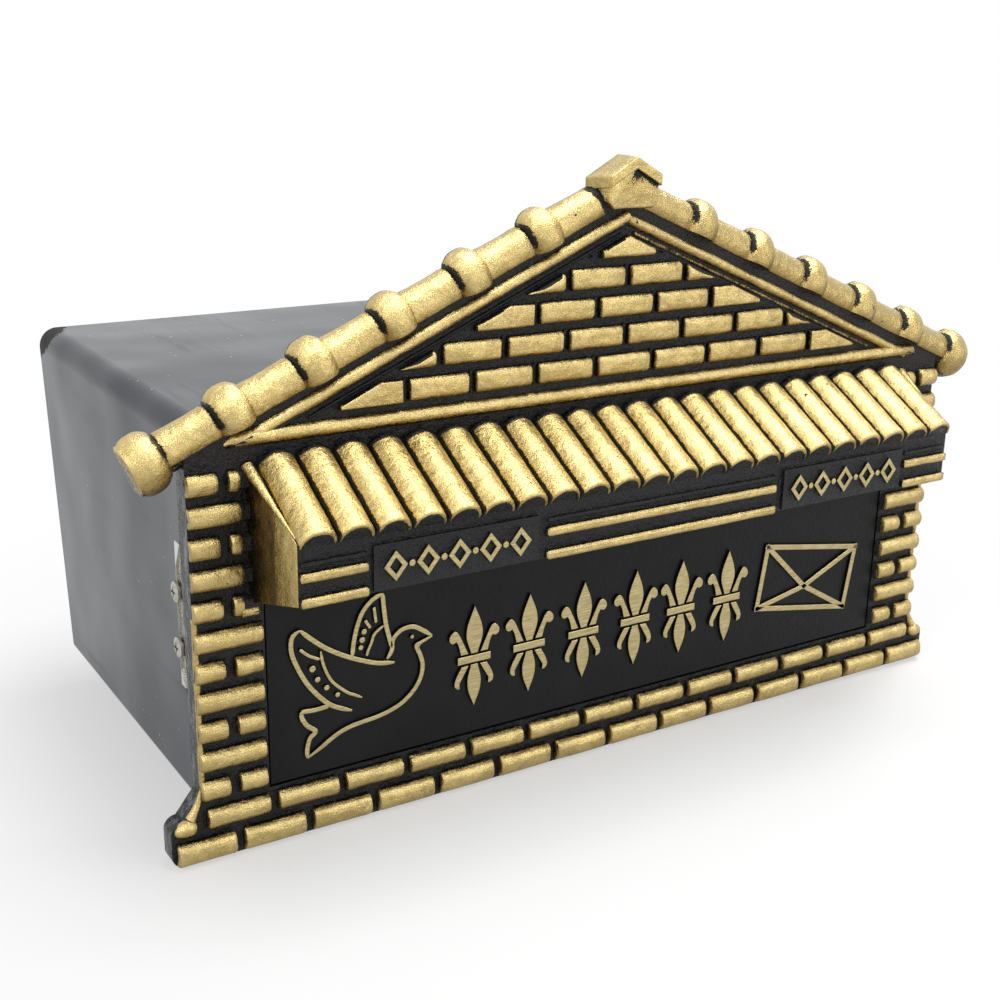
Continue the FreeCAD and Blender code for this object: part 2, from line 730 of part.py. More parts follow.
def rivet_spots(side):
    """Places of the rivets of both hinges, as x and height, on the frame (1) or on the door (-1)."""
    axis = at("opening_top + door_lap + hinge_drop")
    height = axis + (at("rivet_reach") if side > 0 else -at("door_rivet_reach"))
    spread = at("rivet_spread")
    return [(sign * at("hinge_place") + move, height) for sign in (-1, 1) for move in (-spread, spread)]


def rivet_bores(name, side):
    bores = []
    for x, z in rivet_spots(side):
        bores.append(Part.makeCylinder(at("rivet_radius + pin_gap"), 20, V(x, -10, z), V(0, 1, 0)))
    return loose(name, Part.makeCompound(bores))


def body_shell():
    """The folded box: top, sides and floor in one, a rear frame, and returns round its opening."""
    front = f"{SKIN_BACK} + lap_gap"
    outer = cut("BoxOuter", section("BoxBlock", "0", front), beyond("BoxEnd", "0"))
    inner_block = section("BoxSpace", "sheet_wall", f"{front} - 1")
    inner = cut("BoxInner", inner_block, beyond("BoxInnerEnd", "-sheet_wall"))
    skin = cut("BoxSkin", outer, inner)
    across = (f"-({OPENING} + sheet_wall)", f"{OPENING} + sheet_wall")
    up = ("opening_foot - sheet_wall", "opening_top + sheet_wall")
    returns = rear_frame(loose("Returns", box_shape(across, ("-return_depth - sheet_wall", "-0.5"), up)))
    hole_x, hole_z = (f"-{OPENING}", OPENING), ("opening_foot", "opening_top")
    hole = rear_frame(loose("RearHole", box_shape(hole_x, ("-return_depth * 2", "5"), hole_z)))
    bores = side_bores("BoxBores", "screw_radius + screw_gap")
    notch = doc.addObject("PartDesign::Body", "Notch")
    corners = [
        (f"{front} - 1", "lug_foot - 2"),
        ("notch_reach - notch_slant * 0.7", "lug_foot"),
        ("notch_reach", "lug_foot + notch_slant"),
        ("notch_reach", "lug_top - notch_slant * 1.4"),
        ("notch_reach - notch_slant * 0.7", "lug_top"),
        (f"{front} - 1", "lug_top + 2"),
    ]
    pad(notch, outline(notch, "NotchOutline", "YZ_Plane", corners, f"{BODY} - 5"), "6")
    holes = rear_frame(rivet_bores("FrameBores", 1))
    tools = [hole, bores, mirror("BoxBoresLeft", bores), notch, mirror("NotchLeft", notch), holes]
    return cut("body_shell", fuse("BoxWithReturns", skin, returns), *tools)


def side_screw(label, side, level):
    """Pan head screw, head out, driven through the sheet and the lug into a nut."""
    corners = [
        ("0", "head_height"),
        ("head_radius * 0.6", "head_height"),
        ("head_radius", "head_height * 0.6"),
        ("head_radius", "0"),
        ("screw_radius", "0"),
        ("screw_radius", "-screw_length"),
        ("0", "-screw_length"),
    ]
    body = turned(label, corners)
    slot = outline(body, label + "Recess", "XY_Plane", recess_corners(), "head_height")
    pocket = body.newObject("PartDesign::Pocket", label + "Pocket")
    pocket.Profile = slot
    bind(pocket, Length="head_height * 0.5")
    body.Placement.Rotation = FreeCAD.Rotation(V(0, 1, 0), 90 * side)
    return place(body, f"{side} * {BODY}", "screw_back", level)


def recess_corners():
    """A cross recess: twelve corners round a plus sign."""
    arm, half = "head_radius * 0.55", "head_radius * 0.13"
    plus = [(half, f"-{half}"), (arm, f"-{half}"), (arm, half), (half, half), (half, arm), (f"-{half}", arm)]
    rest = [(f"-{half}", half), (f"-{arm}", half), (f"-{arm}", f"-{half}"), (f"-{half}", f"-{half}")]
    return plus + rest + [(f"-{half}", f"-{arm}"), (half, f"-{arm}")]


def hex_ring(label, flats, height, bore):
    """A hexagon nut on the Z axis of its own frame, its seat at zero."""
    body = doc.addObject("PartDesign::Body", label)
    across = f"({flats} / 2 / cos(30))"
    corners = []
    for i in range(6):
        corners.append((f"{across} * cos({60 * i})", f"{across} * sin({60 * i})"))
    pad(body, outline(body, label + "Hexagon", "XY_Plane", corners), height)
    hole = body.newObject("Sketcher::SketchObject", label + "Bore")
    plane = next(f for f in body.Origin.OriginFeatures if f.Role == "XY_Plane")
    hole.AttachmentSupport = [(plane, "")]
    hole.MapMode = "FlatFace"
    geo = hole.addGeometry(Part.Circle(V(0, 0, 0), V(0, 0, 1), at(bore)))
    hole.addConstraint(Sketcher.Constraint("Coincident", geo, 3, -1, 1))
    tie = hole.addConstraint(Sketcher.Constraint("Radius", geo, at(bore)))
    hole.setExpression(f"Constraints[{tie}]", formula(bore))
    pocket = body.newObject("PartDesign::Pocket", label + "Pocket")
    pocket.Profile = hole
    pocket.Reversed = True
    bind(pocket, Length=height)
    return body


def side_nut(label, side, level):
    body = hex_ring(label, "nut_flats", "nut_height", "screw_radius + thread_gap")
    body.Placement.Rotation = FreeCAD.Rotation(V(0, 1, 0), -90 * side)
    return place(body, f"{side} * ({BODY} - sheet_wall - lug_thickness)", "screw_back", level)


def rear_door():
    """The door: a sheet that laps the opening, pressed outward in the middle."""
    half = f"({OPENING} + door_lap)"
    foot, top = "opening_foot - door_lap", "opening_top + door_lap"
    inside, outside = "door_gap", "(door_gap + door_sheet)"
    sheet_part = box("DoorSheet", (f"-{half}", half), (inside, outside), (foot, top))
    pan = []
    for name, thin, start in (("Pan", "0", outside), ("PanHollow", "door_sheet", f"{inside} - 1")):
        wide = f"({OPENING} - emboss_inset - {thin} * 0.7)"
        low, high = f"(emboss_foot + {thin} * 0.7)", f"(emboss_top - {thin} * 0.7)"
        base = (start, f"-{wide}", wide, low, high)
        narrow = f"({wide} - emboss_slant)"
        face = f"{outside} + emboss_rise - {thin}"
        crest = (face, f"-{narrow}", narrow, f"{low} + emboss_slant", f"{high} - emboss_slant")
        pan.append(wedge(name, base, crest))
    lock_hole = rod("LockHole", "Y", "barrel_radius + barrel_gap", "-5", "10", "0", "lock_level")
    solid = fuse("DoorSolid", sheet_part, pan[0])
    return cut("rear_door", solid, pan[1], lock_hole, rivet_bores("DoorBores", -1))


def hinge_leaf(label, side, place_x):
    """A hinge leaf with its knuckles; side 1 lies on the frame, side -1 on the door."""
    axis_z = "(opening_top + door_lap + hinge_drop)"
    axis_y = "hinge_rise"
    seat = "0" if side > 0 else "(door_gap + door_sheet)"
    plate_y = (seat, f"{seat} + leaf_sheet")
    half, middle = "(hinge_length / 2)", "(hinge_middle / 2)"
    near = f"{axis_z} + {side} * (hinge_radius + leaf_gap)"
    far = f"{axis_z} + leaf_reach" if side > 0 else f"{axis_z} - door_leaf_reach"
    z = (near, far) if side > 0 else (far, near)
    spans = [(f"{middle} + leaf_gap", half), (f"-{half}", f"-({middle} + leaf_gap)")]
    spans = spans if side > 0 else [(f"-{middle}", middle)]
    x = f"({place_x})"
    pieces = [box(label + "Plate", (f"{x} - {half}", f"{x} + {half}"), plate_y, z)]
    for i, (x0, x1) in enumerate(spans):
        ends = (f"{x} + ({x0})", f"{x} + ({x1})")
        tongue = (axis_z, near) if side > 0 else (near, axis_z)
        pieces.append(box(f"{label}Tongue{i}", ends, plate_y, tongue))
        pieces.append(rod(f"{label}Knuckle{i}", "X", "hinge_radius", *ends, axis_y, axis_z))
    reach = (f"{x} - {half} - 1", f"{x} + {half} + 1")
    bore = rod(label + "Bore", "X", "pin_radius + pin_gap", *reach, axis_y, axis_z)
    holes = rivet_bores(label + "Rivets", side)
    return cut(label, fuse(label + "Solid", *pieces), bore, holes)


def hinge_pin(label, place_x):
    half = "(hinge_length / 2 + leaf_sheet)"
    axis_z = "(opening_top + door_lap + hinge_drop)"
    ends = (f"{place_x} - {half}", f"{place_x} + {half}")
    return rod(label, "X", "pin_radius", *ends, "hinge_rise", axis_z)


def rivets(label, side):
    """Four blind rivets: a domed head on the leaf, a shank, and a set tail behind the sheet."""
    if side > 0:
        outside, inside = at("leaf_sheet"), at("-sheet_wall")
    else:
        outside, inside = at("door_gap + door_sheet + leaf_sheet"), at("door_gap")
    head, radius, rise = at("rivet_head"), at("rivet_radius"), at("rivet_rise")
    out, low = V(0, 1, 0), rise * 0.6
    tail = Part.makeCylinder(radius * 1.4, rise, V(0, inside - rise, 0), out)
    shank = Part.makeCylinder(radius, outside - inside, V(0, inside, 0), out)
    rim = Part.makeCone(head, head * 0.72, low, V(0, outside, 0), out)
    crown = Part.makeCone(head * 0.72, head * 0.3, rise - low, V(0, outside + low, 0), out)
    one = shank.multiFuse([tail, rim, crown]).removeSplitter()
    group = []
    for x, z in rivet_spots(side):
        copy = one.copy()
        copy.translate(V(x, 0, z))
        group.append(copy)
    return loose(label, Part.makeCompound(group))


def lock_barrel():
    face = "(door_gap + door_sheet)"
    corners = [
        ("plug_radius + plug_gap", "barrel_rise"),
        ("barrel_head * 0.93", "barrel_rise"),
        ("barrel_head", "barrel_rise * 0.5"),
        ("barrel_head", "0"),
        ("barrel_radius", "0"),
        ("barrel_radius", f"-({face} + barrel_length)"),
        ("plug_radius + plug_gap", f"-({face} + barrel_length)"),
    ]
    return lock_place(turned("lock_barrel", corners), face)


def lock_place(body, outward):
    """Turns a body's own Z to point out of the rear panel, at the lock, its zero at the given level."""
    body.Placement.Rotation = FreeCAD.Rotation(V(1, 0, 0), -90)
    return place(body, "0", outward, "lock_level")


def lock_nut():
    return lock_place(hex_ring("lock_nut", "lock_nut_flats", "lock_nut_height", "barrel_radius + 0.03"),
                      "door_gap - lock_nut_height")


def lock_plug():
    """The plug that the key turns, with a square drive for the cam and a bore for its screw."""
    face = "(door_gap + door_sheet + barrel_rise)"
    end = "-(barrel_length + plug_gap)"
    plug = rod("PlugBody", "Y", "plug_radius", end, f"{face} + plug_rise", "0", "lock_level")
    drive_x = ("-drive_side / 2", "drive_side / 2")
    drive_z = ("lock_level - drive_side / 2", "lock_level + drive_side / 2")
    drive = box("PlugDrive", drive_x, (f"{end} - cam_gap - cam_sheet", end), drive_z)
    slot_y = (f"{face} + plug_rise - 4", f"{face} + plug_rise + 1")
    slot_z = ("lock_level - plug_radius * 0.6", "lock_level + plug_radius * 0.6")
    slot = box("KeySlot", ("-key_slot / 2", "key_slot / 2"), slot_y, slot_z)
    span = (f"{end} - cam_gap - cam_sheet - 1", f"{end} + 5")
    bore = rod("PlugBore", "Y", "cam_screw_radius + thread_gap", *span, "0", "lock_level")
    return cut("lock_plug", fuse("PlugSolid", plug, drive), slot, bore)


def lock_cam():
    """The cam: a flat arm on the square drive, level when the lock is open."""
    back = "-(barrel_length + plug_gap + cam_gap)"
    y = (f"{back} - cam_sheet", back)
    wide = ("lock_level - cam_width / 2", "lock_level + cam_width / 2")
    arm = box("CamArm", ("0", "cam_reach - cam_width / 2"), y, wide)
    hub = rod("CamHub", "Y", "cam_width / 2", *y, "0", "lock_level")
    tip = rod("CamTip", "Y", "cam_width / 2", *y, "cam_reach - cam_width / 2", "lock_level")
    side = "(drive_side / 2 + drive_gap)"
    hole_y = (f"{y[0]} - 1", f"{y[1]} + 1")
    hole = box("CamHole", (f"-{side}", side), hole_y, (f"lock_level - {side}", f"lock_level + {side}"))
    return cut("lock_cam", fuse("CamSolid", arm, hub, tip), hole)


def cam_screw():
    seat = "-(barrel_length + plug_gap + cam_gap + cam_sheet)"
    corners = [
        ("0", "cam_screw_rise"),
        ("cam_screw_head * 0.6", "cam_screw_rise"),
        ("cam_screw_head", "cam_screw_rise * 0.4"),
        ("cam_screw_head", "0"),
        ("cam_screw_radius", "0"),
        ("cam_screw_radius", "-cam_sheet * 2.5"),
        ("0", "-cam_sheet * 2.5"),
    ]
    body = turned("cam_screw", corners)
    body.Placement.Rotation = FreeCAD.Rotation(V(1, 0, 0), 90)
    return place(body, "0", seat, "lock_level")


def on_rear(item, label):
    """A finished piece, modelled level, set on the leaning rear panel."""
    turned_piece = doc.addObject("Part::Compound", label + "_set")
    turned_piece.Links = [item]
    return rear_frame(turned_piece)


# Every sub-part: its node's name and the object that holds its shape
pieces = {
    "front_casting": front_casting(),
    "body_shell": body_shell(),
    "letter_flap": letter_flap(),
    "flap_rod": flap_rod(),
    "rod_clip_left": rod_clip("ClipLeft", -1),
    "rod_clip_right": rod_clip("ClipRight", 1),
}
for side_name, side in (("left", -1), ("right", 1)):
    for height in ("lower", "upper"):
        end = f"{side_name}_{height}"
        pieces[f"side_screw_{end}"] = side_screw(f"SideScrew_{end}", side, f"screw_{height}")
        pieces[f"side_nut_{end}"] = side_nut(f"SideNut_{end}", side, f"screw_{height}")
    spot = f"{side} * hinge_place"
    pieces[f"hinge_frame_leaf_{side_name}"] = hinge_leaf(f"FrameLeaf_{side_name}", 1, spot)
    pieces[f"hinge_door_leaf_{side_name}"] = hinge_leaf(f"DoorLeaf_{side_name}", -1, spot)
    pieces[f"hinge_pin_{side_name}"] = hinge_pin(f"HingePin_{side_name}", spot)
pieces["frame_rivets"] = rivets("FrameRivets", 1)
pieces["door_rivets"] = rivets("DoorRivets", -1)
pieces["rear_door"] = rear_door()
pieces["lock_barrel"] = lock_barrel()
pieces["lock_nut"] = lock_nut()
pieces["lock_plug"] = lock_plug()
pieces["lock_cam"] = lock_cam()
pieces["cam_screw"] = cam_screw()

REAR = ("hinge_", "frame_rivets", "door_rivets", "rear_door", "lock_", "cam_screw")
for node, item in pieces.items():
    if node.startswith(REAR):
        pieces[node] = on_rear(item, node)

doc.recompute()
for node, item in pieces.items():
    item.Label = node

for item in doc.Objects:
    if "Invalid" in item.State or "Error" in item.State:
        raise RuntimeError(f"{item.Name} failed: {item.State}")
for node, item in pieces.items():
    if item.Shape.isNull() or not item.Shape.isValid():
        raise RuntimeError(f"{node} has no valid shape")

os.makedirs("parts", exist_ok=True)
for node, item in pieces.items():
    item.Shape.exportStep(f"parts/{node}.step")
    print(node, "solids", len(item.Shape.Solids), "volume", round(item.Shape.Volume, 1))
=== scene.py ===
import math

import bmesh
import bpy
from mathutils import Matrix, Vector


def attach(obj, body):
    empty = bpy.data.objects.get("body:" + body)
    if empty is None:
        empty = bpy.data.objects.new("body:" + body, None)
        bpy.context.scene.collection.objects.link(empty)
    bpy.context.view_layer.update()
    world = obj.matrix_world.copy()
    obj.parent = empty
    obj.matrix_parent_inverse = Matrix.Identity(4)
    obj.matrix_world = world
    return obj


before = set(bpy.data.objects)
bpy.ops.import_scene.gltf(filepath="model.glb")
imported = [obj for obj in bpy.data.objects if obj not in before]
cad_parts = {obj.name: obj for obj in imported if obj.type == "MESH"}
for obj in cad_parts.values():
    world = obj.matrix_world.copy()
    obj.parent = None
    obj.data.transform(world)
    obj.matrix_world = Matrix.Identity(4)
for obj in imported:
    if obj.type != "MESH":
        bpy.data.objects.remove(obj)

bl_info = {
    "name": "Cast Post Box",
    "version": (1, 0, 0),
    "blender": (4, 5, 0),
    "location": "View3D > Sidebar > Post Box",
    "description": "Dresses a cast house-shaped post box with bricks, tiles, rolls, signs and paint",
    "category": "Add Mesh",
}

MM = 0.001
HOUSE, FLAP = "house", "flap"
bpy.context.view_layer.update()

# Places on the cast front, in millimetres

GROUND = -8.0
FLAP_FACE = -7.6
FASCIA = -40.3
PLATE_RISE = 1.0
BASE_HALF = 187.0
COLUMN_SIDE = 175.6
COLUMN_COURSES = 11
GABLE_FOOT = 158.1
GABLE_COURSES = 5
GABLE_LEVEL = 212.4
HOOD_TOP = 144.0
HOOD_RUN, HOOD_DROP = 32.3, 18.0
HOOD_WALL_HALF, HOOD_HALF, HOOD_TAPER = 154.2, 150.3, 3.9
BAR_SPANS = ((-150.2, -125.2), (-54.3, 54.3), (125.2, 150.2))
BAR_LEVELS = (114.0, 105.3)
BEDDING = 1.2


# Sizes and colours that a user would change


class BrickSizes(bpy.types.PropertyGroup):
    pitch: bpy.props.FloatProperty(
        name="Brick pitch", description="From one joint to the next", default=27 * MM, unit="LENGTH")
    rise: bpy.props.FloatProperty(
        name="Course rise", description="From one course to the next", default=11.2 * MM, unit="LENGTH")
    joint: bpy.props.FloatProperty(
        name="Joint", description="Width of the black joint between bricks", default=3.2 * MM, unit="LENGTH")
    crown: bpy.props.FloatProperty(
        name="Crown", description="How far a wall brick stands out", default=3.5 * MM, unit="LENGTH")
    flat: bpy.props.FloatProperty(
        name="Gable crown", description="How far a gable brick stands out", default=2.95 * MM, unit="LENGTH")


class RoofSizes(bpy.types.PropertyGroup):
    angle: bpy.props.FloatProperty(
        name="Roof angle", description="Slope of the roof", default=math.radians(23.2), subtype="ANGLE")
    axis: bpy.props.FloatProperty(
        name="Ridge axis", description="Height where the roll axes meet", default=228.3 * MM, unit="LENGTH")
    setback: bpy.props.FloatProperty(
        name="Setback", description="Roll axis in front of the wall", default=2 * MM, unit="LENGTH")
    roll: bpy.props.FloatProperty(
        name="Roll radius", description="Radius of the plain roll", default=7.15 * MM, unit="LENGTH")
    cap: bpy.props.FloatProperty(
        name="Cap radius", description="Radius of a collar cap", default=10.95 * MM, unit="LENGTH")
    cap_length: bpy.props.FloatProperty(
        name="Cap length", description="Length of a collar cap", default=12.3 * MM, unit="LENGTH")
    cap_pitch: bpy.props.FloatProperty(
        name="Cap pitch", description="From cap to cap", default=32.9 * MM, unit="LENGTH")
    cap_start: bpy.props.FloatProperty(
        name="First cap", description="From the ridge to the first cap", default=39.2 * MM, unit="LENGTH")
    caps: bpy.props.IntProperty(name="Caps", description="Caps on each roll", default=6)
    tiles: bpy.props.IntProperty(name="Tiles", description="Tiles on the hood", default=22)


class Paints(bpy.types.PropertyGroup):
    gold: bpy.props.FloatVectorProperty(
        name="Gold", description="Rubbed gold in plain light", default=(0.16, 0.094, 0.019), subtype="COLOR")
    # Pale gold stands both for gold lying thick and for the painted light on skin that looks up.
    pale: bpy.props.FloatVectorProperty(
        name="Pale gold", description="Where it lies thick", default=(0.75, 0.59, 0.255), subtype="COLOR")
    black: bpy.props.FloatVectorProperty(
        name="Black", description="Paint of the cast front", default=(0.006, 0.006, 0.0065), subtype="COLOR")
    enamel: bpy.props.FloatVectorProperty(
        name="Enamel", description="Paint of the sheet box", default=(0.009, 0.0125, 0.02), subtype="COLOR")


# Modelling by hand: every helper leaves one finished object selected


def deselect():
    if bpy.context.object and bpy.context.object.mode != "OBJECT":
        bpy.ops.object.mode_set(mode="OBJECT")
    bpy.ops.object.select_all(action="DESELECT")


def choose(*objs):
    """Selects only the given objects and makes the first one active."""
    deselect()
    for obj in objs:
        obj.select_set(True)
    bpy.context.view_layer.objects.active = objs[0]
    return objs[0]


def settle(obj):
    """Puts the object's place into its mesh."""
    choose(obj)
    bpy.ops.object.transform_apply(location=True, rotation=True, scale=True)
    return obj


def block(name, low, high):
    """A block between two corners, given in millimetres."""
    deselect()
    low, high = Vector(low) * MM, Vector(high) * MM
    bpy.ops.mesh.primitive_cube_add(size=1, location=(low + high) / 2)
    obj = bpy.context.object
    obj.name = name
    obj.scale = high - low
    return settle(obj)


def pick_edges(obj, test):
    """Enters edit mode with only those edges selected whose two ends, in millimetres, pass the test."""
    choose(obj)
    bpy.ops.object.mode_set(mode="EDIT")
    bpy.ops.mesh.select_mode(type="EDGE")
    bpy.ops.mesh.select_all(action="DESELECT")
    mesh = bmesh.from_edit_mesh(obj.data)
    for edge in mesh.edges:
        edge.select_set(bool(test(*[vertex.co / MM for vertex in edge.verts])))
    bmesh.update_edit_mesh(obj.data)


def edit_all(obj):
    """Enters edit mode with everything selected."""
    choose(obj)
    bpy.ops.object.mode_set(mode="EDIT")
    bpy.ops.mesh.select_all(action="SELECT")


def leave_edit():
    bpy.ops.object.mode_set(mode="OBJECT")


def shave(obj, point, normal):
    """Cuts off what lies beyond a plane and closes the cut."""
    edit_all(obj)
    bpy.ops.mesh.bisect(
        plane_co=Vector(point) * MM, plane_no=Vector(normal).normalized(), use_fill=True, clear_outer=True,
        threshold=1e-6)
    leave_edit()
    return obj


def tidy_normals(obj):
    """Merges corners that coincide and turns every face outward."""
    edit_all(obj)
    bpy.ops.mesh.remove_doubles(threshold=1e-6)
    bpy.ops.mesh.normals_make_consistent(inside=False)
    leave_edit()
    return obj


def divide(obj, cuts):
    """Cuts every face up, so that the skin of the casting can show on it."""
    edit_all(obj)
    bpy.ops.mesh.subdivide(number_cuts=cuts)
    leave_edit()
    return obj


def finish_with(obj, kind, **settings):
    """Adds a modifier and applies it."""
    choose(obj)
    modifier = obj.modifiers.new(kind.title(), kind)
    for name, value in settings.items():
        setattr(modifier, name, value)
    bpy.ops.object.modifier_apply(modifier=modifier.name)
    return obj


def soften(obj, width, segments=2, angle=30):
    """Rounds the sharp edges over by a width in millimetres."""
    return finish_with(obj, "BEVEL", width=width * MM, segments=segments, limit_method="ANGLE",
                       angle_limit=math.radians(angle))


def lumps(obj, size, depth, lift=0.25):
    """The uneven skin of sand casting: clouds of the given size and depth in millimetres."""
    name = f"Sand {size} {obj.name}"
    cloud = bpy.data.textures.new(name, "CLOUDS")
    cloud.noise_scale = size * MM
    cloud.noise_depth = 1
    return finish_with(obj, "DISPLACE", texture=cloud, texture_coords="LOCAL", strength=depth * MM,
                       mid_level=lift)


def weld(name, parts):
    """Joins pieces into one object."""
    choose(*parts)
    if len(parts) > 1:
        bpy.ops.object.join()
    obj = bpy.context.object
    obj.name = name
    return obj


def copies(obj, moves):
    """Copies of a modelled shape, each with its own mesh, moved by millimetres."""
    made = []
    for move in moves:
        choose(obj)
        bpy.ops.object.duplicate()
        copy = bpy.context.object
        copy.location = Vector(move) * MM
        made.append(settle(copy))
    choose(obj)
    bpy.ops.object.delete()
    return made


def turned_rod(name, stations, sides=32):
    """A rod drawn out ring by ring along Z: stations of place and radius in millimetres."""
    deselect()
    place, radius = stations[0]
    bpy.ops.mesh.primitive_circle_add(
        vertices=sides, radius=radius * MM, fill_type="NGON", location=(0, 0, place * MM))
    obj = bpy.context.object
    obj.name = name
    edit_all(settle(obj))
    for (s0, r0), (s1, r1) in zip(stations, stations[1:]):
        bpy.ops.mesh.extrude_region_move(TRANSFORM_OT_translate={"value": (0, 0, (s1 - s0) * MM)})
        bpy.ops.transform.resize(value=(r1 / r0, r1 / r0, 1), center_override=(0, 0, s1 * MM))
    leave_edit()
    return tidy_normals(obj)


def lay_along(obj, start, way, spin=0):
    """Lays an object that was made along Z with its foot at a point, in millimetres, and along a way."""
    turn = Vector(way).normalized().to_track_quat("Z", "Y").to_matrix().to_4x4()
    obj.matrix_world = Matrix.Translation(Vector(start) * MM) @ turn @ Matrix.Rotation(spin, 4, "Z")
    return settle(obj)


def wire(name, points, radii):
    """A round wire through points in millimetres."""
    deselect()
    line = bpy.data.curves.new(name, "CURVE")
    line.dimensions = "3D"
    line.bevel_depth = MM
    line.bevel_resolution = 3
    line.use_fill_caps = True
    spline = line.splines.new("POLY")
    spline.points.add(len(points) - 1)
    for spot, place, radius in zip(spline.points, points, radii):
        spot.co = (*(Vector(place) * MM), 1)
        spot.radius = radius
    obj = bpy.data.objects.new(name, line)
    bpy.context.collection.objects.link(obj)
    choose(obj)
    bpy.ops.object.convert(target="MESH")
    return bpy.context.object


def raised_plate(name, outlines, face, height, edge=0.35):
    """Flat raised work on a face that looks to the front, from outlines of x and z; all in millimetres.

    An outline is a list of corners. A corner with a third value, a pair, is smooth and that pair is
    its handle. Outlines inside another one are holes.
    """
    deselect()
    line = bpy.data.curves.new(name, "CURVE")
    line.dimensions = "2D"
    line.fill_mode = "BOTH"
    line.resolution_u = 8
    line.extrude = (height / 2 - edge / 2) * MM
    line.bevel_depth = edge * MM
    line.bevel_resolution = 1
    line.offset = -edge * MM
    for outline in outlines:
        spline = line.splines.new("BEZIER")
        spline.bezier_points.add(len(outline) - 1)
        spline.use_cyclic_u = True
        for spot, corner in zip(spline.bezier_points, outline):
            place = Vector((corner[0], corner[1], 0)) * MM
            spot.co = place
            if len(corner) > 2:
                handle = Vector((corner[2][0], corner[2][1], 0)) * MM
                spot.handle_left_type = spot.handle_right_type = "ALIGNED"
                spot.handle_left, spot.handle_right = place - handle, place + handle
            else:
                spot.handle_left_type = spot.handle_right_type = "VECTOR"
    obj = bpy.data.objects.new(name, line)
    bpy.context.collection.objects.link(obj)
    choose(obj)
    bpy.ops.object.convert(target="MESH")
    obj = bpy.context.object
    obj.rotation_euler = (math.radians(90), 0, 0)
    obj.location = (0, (face - height / 2 + edge / 2) * MM, 0)
    return settle(obj)


def rub(obj, rule):
    """Writes how well the gold takes at each point, from 0 in the recesses to 1 on the crests.

    The attribute lift is how far the skin turns up there: the gold takes it as painted light, paler on what
    looks up.
    """
    mesh = obj.data
    lift = mesh.attributes.new("lift", "FLOAT", "POINT")
    lift.data.foreach_set("value", [vertex.normal.z for vertex in mesh.vertices])
    layer = mesh.attributes.new("rub", "FLOAT", "POINT")
    values = [0.0] * len(mesh.vertices)
    for vertex in mesh.vertices:
        values[vertex.index] = rule(vertex.co / MM, vertex.normal)
    layer.data.foreach_set("value", values)
    return obj


def dress(obj, body, coat, smooth=40):
    """Gives a finished piece its material and the body it rides on."""
    choose(obj)
    bpy.ops.object.shade_smooth_by_angle(angle=math.radians(smooth))
    obj.data.materials.clear()
    obj.data.materials.append(coat)
    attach(obj, body)
    return obj


def sign_rub(co, normal):
    """Signs hold their gold on the flat tops and hardly any on their flanks."""
    return 0.15 + ramp(-normal.y, 0.4, 0.9) * 0.85


def slanting_rub(normal, crest, left=0.5, top=0.62):
    """The gold was rubbed on from below and from the right, so it thins out on the other flanks."""
    return crest - left * max(-normal.x - 0.35, 0) - top * max(normal.z - 0.66, 0) / 0.34


def ramp(value, low, high):
    """From 0 at the low value to 1 at the high one, and level beyond them."""
    return min(max((value - low) / (high - low), 0.0), 1.0)


# Coats of paint and metal


